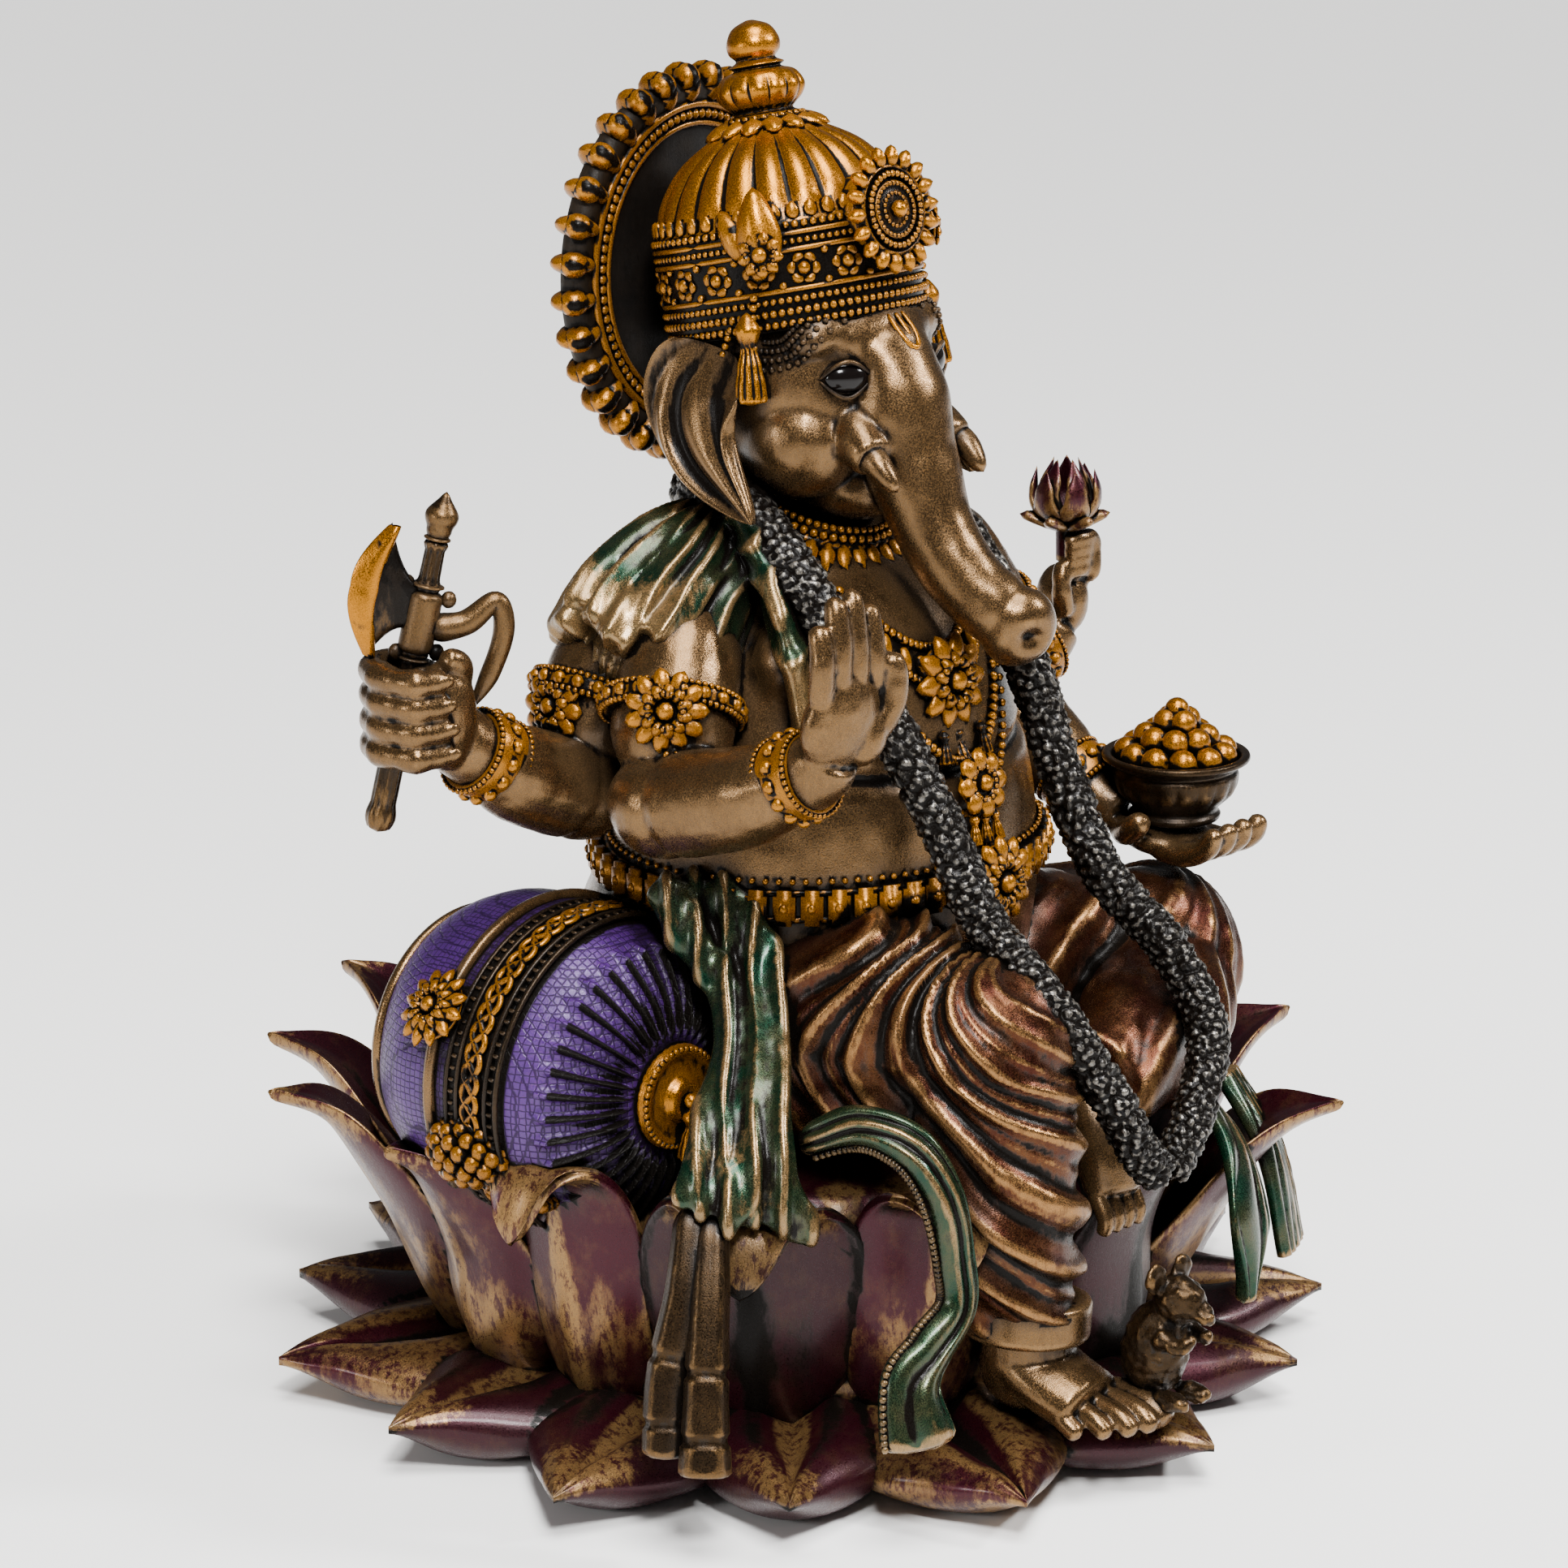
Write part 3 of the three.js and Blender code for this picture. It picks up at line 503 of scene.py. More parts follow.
def mark_hollows(mesh, reach, depth_mm):
    count = len(mesh.vertices)
    co = np.empty(count * 3)
    mesh.vertices.foreach_get("co", co)
    co = co.reshape(-1, 3)
    normal = np.empty(count * 3)
    mesh.vertex_normals.foreach_get("vector", normal)
    normal = normal.reshape(-1, 3)
    ends = np.empty(len(mesh.edges) * 2, dtype=np.int64)
    mesh.edges.foreach_get("vertices", ends)
    a, b = ends[0::2], ends[1::2]
    share = np.maximum(1, np.bincount(a, minlength=count) + np.bincount(b, minlength=count))
    soft = co.copy()
    total = np.zeros(count)
    for step in range(1, reach + 1):
        for axis in range(3):
            near = np.bincount(a, soft[b, axis], count) + np.bincount(b, soft[a, axis], count)
            soft[:, axis] = 0.4 * soft[:, axis] + 0.6 * near / share
        if step in (max(2, reach // 4), reach):
            total += ((soft - co) * normal).sum(axis=1)
    total -= 0.6 * np.median(total)
    hollow = np.clip(0.5 + total / (depth_mm * MM) * 0.5, 0, 1)
    layer = mesh.attributes.new("hollow", "FLOAT", "POINT")
    layer.data.foreach_set("value", hollow.astype(np.float32))


made_pieces = []


def piece(name, bm, finish, stands_for=(), reach=10, depth=0.5, bare=None, grime=None):
    """bare(p, n) and grime(p, n) say how far a point is rubbed bare or waxed, from 0 to 1."""
    bmesh.ops.recalc_face_normals(bm, faces=bm.faces)
    bm.normal_update()
    rubbed = [min(1, max(0, bare(v.co, v.normal))) if bare else 0.0 for v in bm.verts]
    waxed = [min(1, max(0, grime(v.co, v.normal))) if grime else 0.0 for v in bm.verts]
    bmesh.ops.scale(bm, verts=bm.verts, vec=(MM, MM, MM))
    mesh = bpy.data.meshes.new(name)
    bm.to_mesh(mesh)
    bm.free()
    mesh.shade_smooth()
    mark_hollows(mesh, reach, depth)
    mesh.attributes.new("bare", "FLOAT", "POINT").data.foreach_set("value", rubbed)
    mesh.attributes.new("wax_and_contact_shade", "FLOAT", "POINT").data.foreach_set("value", waxed)
    mesh.materials.append(FINISH[finish])
    made = bpy.data.objects.new(name, mesh)
    bpy.context.scene.collection.objects.link(made)
    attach(made, "root")
    if stands_for:
        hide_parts(*stands_for)
    made_pieces.append(made)
    print(name, len(mesh.polygons))
    return made


# %% [markdown]
# ## Lotus
# The lower petals lie out flat. Each is a thick, boat-shaped casting with a groove down its middle,
# raised rims and a pointed tip. They are wrapped grids, laid one after another round the seat.

# %% Lower petals
SEAT_RADIUS = size_of("lotus_seat").x / 2
TIP_RADIUS = size_of("lotus_base").x / 2
LOW_PETALS = 15


def soften(value, power):
    return math.copysign(abs(value) ** power, value)


def low_petal(bm, azimuth, reach, half, lift, seed):
    turn = Matrix.Rotation(math.radians(azimuth), 3, "Z")
    root = SEAT_RADIUS - 12

    def place(t, a):
        s = power(t, 0.9)
        radial = root + (reach - root) * s
        width = half * (0.74 + 0.26 * math.sin(math.pi * min(1, s * 1.2)))
        width *= power(1 - power((s - 0.4) / 0.6, 1.8), 0.9)
        u = math.cos(a)
        v = math.sin(a)
        rim = 9.6 + lift + 3.0 * (1 - s) - 2.2 * power((s - 0.7) / 0.3, 2)
        sag = 3.6 * bump(u, 0, 0.26) * math.sin(math.pi * min(1, 0.15 + 0.9 * s)) + 0.8 * bump(u, 0, 0.08)
        under = 0.0 + 1.6 * power((s - 0.75) / 0.25, 1.5)
        under += (rim - 1.2 - under) * power((s - 0.62) / 0.38, 2.0)
        rim = under + (rim - under) * power(min(1, t / 0.02), 0.5)
        z = under + (rim - under) * (v + 1) / 2
        if v > 0:
            z -= v * sag
            z += v * 0.22 * math.sin(16 * u + 4 * s) * (1 - abs(u))
        x = width * u * (1 + 0.06 * math.sin(5 * s + seed))
        return turn @ Vector((x, -radial, max(0.0, z + 0.5 * wobble((x, radial, z), 9, seed) * (v > 0))))

    loft(bm, place, 44, 56)


bm = bmesh.new()
for i in range(LOW_PETALS):
    odd = i % 2
    low_petal(bm, i * 360 / LOW_PETALS, TIP_RADIUS + 1.5 - 3 * odd, 17.5 - 1.5 * odd, 0.9 * odd, i * 1.7)
tube(bm, [(0, 0, 0.2), (0, 0, 9)], [SEAT_RADIUS - 2, SEAT_RADIUS - 2], sides=60, steps=8, up=(0, 1, 0),
     tip=0.02)


def low_bare(p, n):
    return (math.hypot(p.x, p.y) - 82) / 14 + 0.9 * (0.45 - n.z) + 0.5 * wobble(p, 9)


piece("lower_petals", bm, "maroon", ["lotus_base"], reach=14, depth=1.6, bare=low_bare)

# %% [markdown]
# The upper petals stand round the seat. A plain one is cupped and pointed. Those in front of the
# bolster and the drape fold over at the tip, where the buffed metal shows.

# %% Upper petals
# turn from the front towards the figure's left, tip radius, tip height, half width, fold
UPPER = [
    (12, 70, 47, 15, 0), (37, 85, 44, 18, 0), (62, 84, 47, 18, 0), (90, 84, 48, 19, 0),
    (118, 83, 50, 19, 0),
    (146, 84, 48, 19, 0), (174, 83, 50, 19, 0), (-160, 81, 53, 17, 0), (-140, 84, 50, 16, 0),
    (-122, 84, 50, 15, 0), (-104, 74, 47, 15, 0), (-84, 69, 46, 13, 1), (-54, 72, 43, 17, 1),
    (-27, 68, 45, 13, 1),
]


def upper_petal(bm, turn, reach, top, half, fold):
    spin = Matrix.Rotation(math.radians(turn), 3, "Z")
    foot = SEAT_RADIUS - 2
    if fold:
        corners = [(foot, 4, 0), (foot + 6, 20, 0), (foot + 9, top - 7, 0), (foot + 12, top + 1, 0),
                   (foot + 17, top + 1.5, 0), (foot + 20, top - 4, 0), (foot + 20.5, top - 8, 0)]
    else:
        corners = [(foot, 4, 0), (foot + 8, 15, 0), (foot + 0.45 * (reach - foot), top * 0.62, 0),
                   (foot + 0.72 * (reach - foot), top * 0.9, 0), (reach, top, 0)]
    line = path(corners)

    def place(t, a):
        u = soften(math.cos(a), 0.9)
        s = t * (0.62 + 0.38 * (1 - abs(u) ** 1.4)) if fold else t
        p = line(s)
        d = (line(s + 1e-3) - line(s - 1e-3)).normalized()
        out = Vector((d.y, -d.x))
        width = half * (0.60 + 0.40 * math.sin(math.pi * min(1, t * 1.05)))
        if fold:
            width *= power(1 - power((t - 0.45) / 0.55, 2.4), 0.12)
        else:
            width *= 1 - power((t - 0.35) / 0.65, 1.7)
        skin = 1.9 * soften(math.sin(a), 0.7) * (1 - 0.5 * t) * power(min(1, t / 0.02, (1 - t) / 0.03), 0.5)
        cup = u * u * half * (0.62 if not fold else 0.35) * (1 - (0.96 if not fold else 0.75) * t)
        keel = 0.6 * bump(u, 0, 0.12) if math.sin(a) > 0 else -0.8 * bump(u, 0, 0.14)
        veins = 0.10 * math.sin(11 * u + 5 * t) * (1 - abs(u))
        push = skin + (keel * (1 - t) + veins) * min(1, t / 0.02, (1 - t) / 0.03) - cup
        x = width * u
        radial = p.x + out.x * push
        height = p.y + out.y * push
        return spin @ Vector((x, -radial, height + 1.0 * wobble((x, radial, height), 14, turn)))

    loft(bm, place, 52, 48)


def upper_bare(p, n):
    out = (p.x * n.x + p.y * n.y) / (math.hypot(p.x, p.y) + 1e-6)
    facing = 0.5 if out > 0 and n.z < 0.35 else -0.6
    front = -0.9 if p.y < -30 and p.x < 0 and p.z < 35 else 0
    front += 1.6 if math.hypot(p.x, p.y) > SEAT_RADIUS + 11 and p.z > 37 and p.y < -5 and p.x < 2 else 0
    return facing - 0.25 + front + (p.z - 30) / 16 + (math.hypot(p.x, p.y) - 80) / 16 + 0.6 * wobble(p, 10)


for number, petal in enumerate(UPPER, 1):
    bm = bmesh.new()
    upper_petal(bm, *petal)
    piece(f"upper_petal_{number:02d}", bm, "maroon", [f"petal_{number:02d}"], reach=14, depth=1.0,
          bare=upper_bare)

# %% [markdown]
# The seat is the swollen heart of the lotus, mostly hidden under cloth.

# %% Seat
bm = bmesh.new()
seat_top = at("lotus_seat", z=1).z


def seat_ribs(t, a):
    return 0.5 * math.sin(30 * a) * math.sin(math.pi * t)


turned(bm, (0, 0, 0), (0, 0, 1), through([(0, 8), (46, 8.5), (50, 18), (SEAT_RADIUS, 27), (47, 39),
                                          (38, seat_top), (0, seat_top + 0.5)]), seat_ribs, 60, 120)
piece("seat", bm, "maroon", ["lotus_seat"], reach=12, grime=lambda p, n: 0.64)

# %% [markdown]
# ## Body
# The torso is one wrapped grid: hips, belly, chest, sloping shoulders and neck.

# %% Torso
bm = bmesh.new()
TORSO_GIRTH = path([(radius, 0, 0) for radius in (36, 38.5, 36, 33, 29, 21, 11.5)])
tube(bm, [(0, 4, 44), (0, 1, 62), (0, -5, 82), (0, -6, 98), (0, -4, 114), (0, -1, 127), (0, 0, 139)],
     [TORSO_GIRTH(i / 40).x for i in range(41)], sides=72, steps=80, flat=0.86, up=(0, 1, 0), tip=0.08)
ball(bm, (0, 2.5, 124), (34, 12, 10.5), sides=32)
ball(bm, (-13, -17, 118), (13, 9, 11), sides=24)
ball(bm, (13, -17, 118), (13, 9, 11), sides=24)
bm = fused(bm, 0.8, 10)
body_tree = BVHTree.FromBMesh(bm)


def chest_press(p):
    push = 0.12 * wobble(p, 4) + 0.12 * wobble(p, 14, 3)
    if p.y < 0:
        push -= 1.3 * bump(p.z, 101.5 + 0.003 * p.x * p.x, 1.6)
    return push


press(bm, chest_press)
piece("torso", bm, "bronze", ["torso"], reach=14, depth=0.7)


def on_body(x, z, lift=0.0, tree=None):
    hit = (tree or body_tree).ray_cast(Vector((x, -200, z)), Vector((0, 1, 0)))
    if hit[0] is None:
        return Vector((x, -10, z))
    return hit[0] + hit[1] * lift


# %% [markdown]
# ## Legs in a pleated dhoti
# The cloth is pulled tight over each knee, so its folds fan out from there. The folds are pressed
# by a rule that turns round the knee: round ridges with sharp creases between them.

# %% Right leg
def fan(p, knee, spin, pitch, swirl, seed):
    """How far round the knee a point lies, in folds."""
    off = p - Vector(knee)
    side = spin @ off
    angle = math.atan2(side.z, side.y)
    far = math.hypot(side.z, side.y)
    return angle * pitch + far * swirl + 1.1 * wobble(p, 16, seed) + 0.05 * side.x


RIGHT_KNEE = Vector((-18, -54, 67))
bm = bmesh.new()
tube(bm, [(-17, 2, 58), (-19, -32, 65.5), (-18, -56, 66)], [20, 17.5, 14], sides=40, steps=30, tip=0.1,
     tail=0.25)
ball(bm, RIGHT_KNEE, (14, 14, 13.5), sides=24)
tube(bm, [(-18, -54, 66), (-20, -61, 48), (-18, -60, 36), (-14.5, -59.5, 26)], [13.5, 10.4, 9.6, 8.0],
     sides=40, steps=40,
     up=(0, 1, 0), tip=0.1, tail=0.03)
bm = fused(bm, 0.6, 6)


def right_folds(p):
    depth = 2.4 * min(1, (p - Vector((-14, -66, 74))).length / 26)
    phase = fan(p, (-13, -50, 86), Matrix.Identity(3), 8.5, 0.09, 1.0)
    phase += 0.20 * max(0.0, 66 - p.z) - 0.22 * (p.x + 18)
    push = depth * (ridge(phase) - 0.4) * (0.8 + 0.5 * wobble(p, 20, 7))
    return push + 0.5 * (ridge(phase * 2.3 + 1) - 0.4) + 0.10 * wobble(p, 2.5)


press(bm, right_folds)
piece("right_leg", bm, "copper", ["right_leg"], reach=12, depth=0.8)

# %% [markdown]
# The left leg is folded under, so its thigh and shin are two thick tubes that meet at the knee.
# Its folds fade out on the kneecap, where cloth is stretched smooth.

# %% Left leg
LEFT_KNEE = Vector((46, -33, 61))
bm = bmesh.new()
tube(bm, [(14, 0, 56), (32, -20, 59), (46, -34, 60)], [20, 17, 14], sides=40, steps=30, tip=0.1, tail=0.25)
ball(bm, LEFT_KNEE, (14.5, 14.5, 15), sides=24)
tube(bm, [(46, -34, 58), (25, -49, 57), (6, -54, 54.5)], [12.5, 11.5, 8], sides=40, steps=40, tip=0.1,
     tail=0.06)
bm = fused(bm, 0.6, 6)


def left_folds(p):
    depth = (2.2 * min(1, (p - Vector((52, -42, 70))).length / 24)
             * min(1, (p - Vector((61, -34, 60))).length / 17) ** 2)
    off = p - Vector((56, -40, 78))
    phase = math.atan2(off.z, -off.x) * 9 + 0.08 * off.length + 0.1 * p.y + 1.0 * wobble(p, 15, 5)
    return depth * (ridge(phase) - 0.4 + 0.22 * (ridge(phase * 2.2) - 0.4)) + 0.10 * wobble(p, 2.5)


press(bm, left_folds)
piece("left_leg", bm, "copper", ["left_leg"], reach=12, depth=0.8)

# %% [markdown]
# ## Feet
# Each toe is a slim tube laid beside the next, with a dark gap between.

# %% Feet
bm = bmesh.new()
ball(bm, (-14, -59, 18), (7, 7, 7.5), sides=20)
tube(bm, [(-14, -59.5, 26), (-14, -59.5, 17)], [6.8, 7.2], sides=20, steps=12, up=(0, 1, 0))
tube(bm, [(-14, -58, 20), (-13.5, -64, 16.4), (-12.4, -71, 13.4)], [7.2, 7.6, 7.4], sides=24, steps=20,
     flat=0.62)
for i in range(5):
    x = -18.6 + i * 3.2
    reach = [73.5, 76.5, 78.6, 79.8, 79.6][i]
    size = [1.6, 1.65, 1.7, 1.8, 2.3][i]
    tube(bm, [(x * 0.94 - 0.6, -68, 14), (x, -reach + 3.4, 13.2), (x + 0.2, -reach, 11)],
         [size, size, size * 0.9],
         sides=14, steps=16, tip=0.15)
bm = fused(bm, 0.35, 4)
piece("right_foot", bm, "bronze", ["right_foot"], reach=10, depth=0.4)
bm = bmesh.new()
tube(bm, [(5, -55, 55), (3.5, -59.5, 47), (2.6, -62, 40)], [5.4, 6.0, 5], sides=24, steps=20, flat=0.75,
     up=(0, 1, 0))
for i in range(4):
    x = -1.2 + i * 2.5
    tube(bm, [(x, -61, 42), (x - 0.2, -63.6, 38), (x - 0.2, -63, 35.2)], [1.4, 1.35, 1.2], sides=10,
         steps=12, tip=0.15, up=(0, 1, 0))
bm = fused(bm, 0.35, 4)
piece("left_foot", bm, "bronze", ["left_foot"], reach=10, depth=0.4)

# %% [markdown]
# ## Head and trunk
# An elephant's head: a high brow, full cheeks, and a trunk that flows out of the face without a
# seam. Everything is fused, then eye hollows and nostrils are pressed in.

# %% Head
TRUNK = [(0, -12, 164), (0, -18.5, 156), (0, -23, 146), (0.3, -27.5, 136.5), (1.5, -33, 129.5),
         (4.5, -38.5, 124.6)]
TRUNK_TIP = Vector((5.0, -39.5, 123.6))
bm = bmesh.new()
ball(bm, (0, -2, 157), (19, 19.5, 19.5), sides=40)
ball(bm, (0, -12, 164), (12.5, 9, 8), sides=24)
for side in (-1, 1):
    ball(bm, (side * 9.5, -9, 150), (9, 9.5, 9), sides=24)
    ball(bm, (side * 8.2, -12.6, 166.2), (7.5, 5, 4), (0, side * 12, 0), sides=16)
    tube(bm, [(side * 5, -15, 156), (side * 8.4, -19.5, 151), (side * 9.2, -24, 148.4)], [3.6, 3.9, 3.3],
         sides=16, steps=14)
ball(bm, (0, -11, 142), (8.5, 9, 5.5), sides=20)
ball(bm, (0, -19, 141), (3.6, 4, 2.6), sides=16)
tube(bm, TRUNK, [9.4, 8.6, 7.0, 6.0, 5.6, 5.6], sides=32, steps=60, tip=0.1, tail=0.07)
ball(bm, TRUNK_TIP, (6.0, 5.0, 6.4), (20, 0, -20), sides=24)
bm = fused(bm, 0.45, 14)


def face_press(p):
    push = 0.12 * wobble(p, 3)
    for side in (-1, 1):
        eye = Vector((side * 9.4, -18, 160.3))
        push -= 1.2 * math.exp(-((p - eye).length / 3.6) ** 2)
        nostril = TRUNK_TIP + Vector((side * 0.9 - 1.6, -4.4, -1.2))
        push -= 1.3 * math.exp(-((p - nostril).length / 1.8) ** 2)
    return push


press(bm, face_press)
head_tree = BVHTree.FromBMesh(bm)
piece("head", bm, "bronze", ["head"], reach=12, depth=0.5)

# %% [markdown]
# The eyes are glossy black almonds between raised lids.

# %% Eyes
bm = bmesh.new()
lids = bmesh.new()
for side in (-1, 1):
    centre = Vector((side * 9.6, -18.0, 160.2))
    ball(bm, centre, (3.6, 1.9, 2.5), (0, 0, side * 30), sides=20)
    across = Vector((math.cos(math.radians(side * 30)), math.sin(math.radians(side * 30)), 0))
    forward = Vector((side * 0.5, -0.86, 0))
    for lift in (1, -1):
        arc = [centre - across * 4.3 + forward * 0.6,
               centre - across * 1.8 + Vector((0, 0, 2.1 * lift)) + forward * 1.3,
               centre + Vector((0, 0, 2.7 * lift)) + forward * 1.5,
               centre + across * 1.8 + Vector((0, 0, 2.0 * lift)) + forward * 1.2,
               centre + across * 4.3 + forward * 0.3]
        tube(lids, arc, [0.2, 0.36, 0.36, 0.2], sides=8, steps=20)
FINISH["eye"] = bpy.data.materials.new("eye_enamel_black")
FINISH["eye"].use_nodes = True
eye_shader = FINISH["eye"].node_tree.nodes["Principled BSDF"]
eye_grain = add(FINISH["eye"].node_tree, "ShaderNodeTexNoise", None, {"Scale": 1 / (1.5 * MM)})
eye_rough = add(FINISH["eye"].node_tree, "ShaderNodeMapRange", None,
                {0: eye_grain.outputs["Fac"], 3: 0.06, 4: 0.2})
FINISH["eye"].node_tree.links.new(eye_rough.outputs[0], eye_shader.inputs["Roughness"])
eye_shader.inputs["Base Color"].default_value = linear("0A0706")
eye_shader.inputs["Specular IOR Level"].default_value = 0.22
piece("eyes", bm, "eye")
piece("eyelids", lids, "old_bronze")

# %% [markdown]
# ## Ears and tusks
# An ear is a thin, cupped sheet with a rolled upper edge and soft folds that run to its tip.

# %% Ears
def ear(bm, side):
    line = path([(side * 18.5, -1, 164), (side * 22, 0, 157), (side * 23.5, -3, 149),
                 (side * 24.5, -13.5, 140)])

    def place(t, a):
        p = line(t)
        along = (line(t + 1e-3) - line(t - 1e-3)).normalized()
        out = Vector((side, -0.15, 0))
        wide = along.cross(out).normalized() * side
        width = 10.0 * power(math.sin(math.pi * min(1, 0.16 + 0.84 * t)), 0.7) * (1 - 0.35 * t)
        u = soften(math.cos(a), 0.8)
        skin = 0.8 * soften(math.sin(a), 0.7)
        flow = math.sin(9 * u + 2.5 * t + 1.2 * math.sin(3 * u + 5 * t))
        folds = (0.9 * flow * power(math.sin(math.pi * power(t, 1.6)), 0.8)
                 + 3.4 * abs(u) ** 3 * power(1 - t, 1.3))
        return p + wide * width * u + out.normalized() * (skin + folds)

    loft(bm, place, 40, 40)


for side, name in ((-1, "right_ear"), (1, "left_ear")):
    bm = bmesh.new()
    ear(bm, side)
    piece(name + "_sheet", bm, "bronze", [name], reach=14, depth=1.2)

# %% [markdown]
# A short tapering stub stands in a collar of skin. One tusk is as long as the other here.

# %% Tusks
for side, name in ((-1, "right_tusk"), (1, "left_tusk")):
    bm = bmesh.new()
    tube(bm, [(side * 8.6, -19, 150.5), (side * 9.8, -24, 148.6), (side * 9.6, -28.5, 144.6)],
         [2.4, 2.2, 1.3], sides=16, steps=16, tip=0.2)
    tube(bm, [(side * 8.8, -20.5, 150), (side * 9.3, -22.5, 149.3)], [3.2, 3.1], sides=16, steps=10,
         tip=0.4)
    piece(name + "_stub", bm, "bronze", [name], reach=6, depth=0.6)

# %% [markdown]
# ## Crown
# A turned helmet that leans back. Its dome is gadrooned, and bands of beads and studs run round it.

# %% Crown cap
LEAN = math.radians(13)
CROWN_AXIS = Vector((0, math.sin(LEAN), math.cos(LEAN)))
CROWN_FOOT = Vector((0, 1, 168))


def on_crown(radius, height, angle):
    spin = CROWN_AXIS.to_track_quat("Z", "Y").to_matrix()
    return CROWN_FOOT + spin @ Vector((radius * math.cos(angle), radius * math.sin(angle), height))


CROWN_WALL = through([(0, -3.5), (17.8, -3.5), (19.0, -2.8), (19.3, 1), (19.4, 8), (19.3, 11.2), (18.9, 13),
                      (17.2, 17.6), (13.6, 22.2), (8.0, 25.8), (4.5, 27.2), (0, 28)])


def gadroons(t, a):
    height = CROWN_WALL(t)[1]
    share = power((height - 12.4) / 4, 1) if height < 16.4 else 1
    return 1.1 * (pleat(a * 11) - 0.7) * share * min(1, max(0, 27.4 - height) / 4)


bm = bmesh.new()
turned(bm, CROWN_FOOT, CROWN_AXIS, CROWN_WALL, gadroons, 90, 176)


def band_wax(p, n):
    return (12.6 - (p - CROWN_FOOT).dot(CROWN_AXIS)) / 1.2


piece("crown_cap", bm, "gold", ["crown"], reach=8, depth=0.8, grime=band_wax)

# %% [markdown]
# Rows of beads, wires and small flowers are laid round the crown's wall by angle. They could be
# pressed in with a pattern, but separate beads catch the light the way cast ones do.

# %% Crown bands and studs
bm = bmesh.new()


def crown_ring(height, radius, bead_radius, count):
    for i in range(count):
        bead(bm, on_crown(radius, height, i * TAU / count), bead_radius)


def crown_wire(height, radius, wire):
    line = [on_crown(radius, height, i * TAU / 24) for i in range(25)]
    tube(bm, line, [wire, wire], sides=8, steps=96, up=CROWN_AXIS, tip=0.001)


crown_ring(-2.6, 19.3, 0.62, 96)
crown_ring(-0.9, 19.6, 0.62, 96)
crown_ring(0.8, 19.6, 0.55, 104)
crown_wire(2.2, 19.5, 0.42)
for i in range(18):
    angle = (i + 0.5) * TAU / 18
    out = (on_crown(1, 0, angle) - CROWN_FOOT).normalized()
    rosette(bm, on_crown(19.3, 5.1, angle), out, 2.6, 6, boss=0.5, ring=False)
    for step in (-0.5, 0.5):
        bead(bm, on_crown(19.6, 5.1 + step * 4.4, angle + TAU / 36), 0.6)
crown_wire(8.0, 19.6, 0.42)
crown_ring(9.2, 19.6, 0.5, 108)
crown_wire(10.4, 19.6, 0.42)
crown_ring(11.6, 19.5, 0.62, 88)
for i in range(44):
    angle = i * TAU / 44
    leaf(bm, on_crown(19.1, 12.2, angle), on_crown(18.9, 15.0, angle), on_crown(1, 0.2, angle) - CROWN_FOOT,
         1.15, 0.5)
for i in range(14):
    angle = i * TAU / 14
    leaf(bm, on_crown(3.5, 27.6, angle), on_crown(9.6, 25.4, angle),
         CROWN_AXIS + (on_crown(0.4, 0, angle) - CROWN_FOOT), 2.1, 0.6, ridge=1.0)
piece("crown_bands", bm, "gold", reach=4, depth=0.35)

# %% [markdown]
# The finial is turned and fluted. The medallion is a thin turned disc with bead rings and a rim of
# leaves, on a stem that runs back into the crown. The tassels are fluted tubes.

# %% Finial, medallion and tassels
bm = bmesh.new()


def finial_ribs(t, a):
    height = FINIAL(t)[1]
    return 0.55 * (pleat(a * 6.5) - 0.6) * bump(height, 31.6, 2.4)


FINIAL = through([(0, 26.6), (5.4, 26.9), (5.6, 27.9), (4.4, 28.7), (5.9, 30.2), (6.6, 32), (5.6, 34.1),
                  (3.6, 35),
                  (4.2, 35.6), (3.0, 36.4), (3.9, 37.6), (4.0, 39.2), (2.9, 41.2), (0.8, 42.2), (0, 42.3)])
turned(bm, CROWN_FOOT, CROWN_AXIS, FINIAL, finial_ribs, 90, 104)
for i in range(26):
    bead(bm, on_crown(5.7, 27.6, i * TAU / 26), 0.6)
piece("finial", bm, "gold", ["crown_finial"], reach=8, depth=0.5)

bm = bmesh.new()
medal_facing = Vector((0, -math.cos(LEAN), math.sin(LEAN)))
MEDAL = at("crown_medallion")
medal_spin = medal_facing.to_track_quat("Z", "Y").to_matrix()
turned(bm, MEDAL - medal_facing * 1.4, medal_facing,
       through([(0, 0), (6.6, 0.4), (7.0, 1.4), (6.4, 2.0), (5.8, 1.6), (4.6, 1.7), (4.2, 2.3),
                                          (3.4, 2.0), (2.2, 2.2), (0, 2.4)]), None, 40, 60)
for i in range(18):
    angle = i * TAU / 18
    out = medal_spin @ Vector((math.cos(angle), math.sin(angle), 0))
    leaf(bm, MEDAL + out * 6.2, MEDAL + out * 9.6 + medal_facing * 0.3, medal_facing, 1.25, 0.8, ridge=0.8)
ball(bm, MEDAL + medal_facing * 1.4, (1.3, 1.3, 1.3), sides=14)
tube(bm, [MEDAL - medal_facing * 8, MEDAL - medal_facing * 0.9], [6.4, 5.6], up=(1, 0, 0), sides=32,
     steps=8, tip=0.05)
for radius, size, count in ((5.3, 0.55, 34), (3.9, 0.42, 30), (2.4, 0.42, 18)):
    for i in range(count):
        out = medal_spin @ Vector((math.cos(i * TAU / count), math.sin(i * TAU / count), 0))
        bead(bm, MEDAL + out * radius + medal_facing * 0.7, size)
piece("medallion", bm, "gold", ["crown_medallion"], reach=5, depth=0.5)


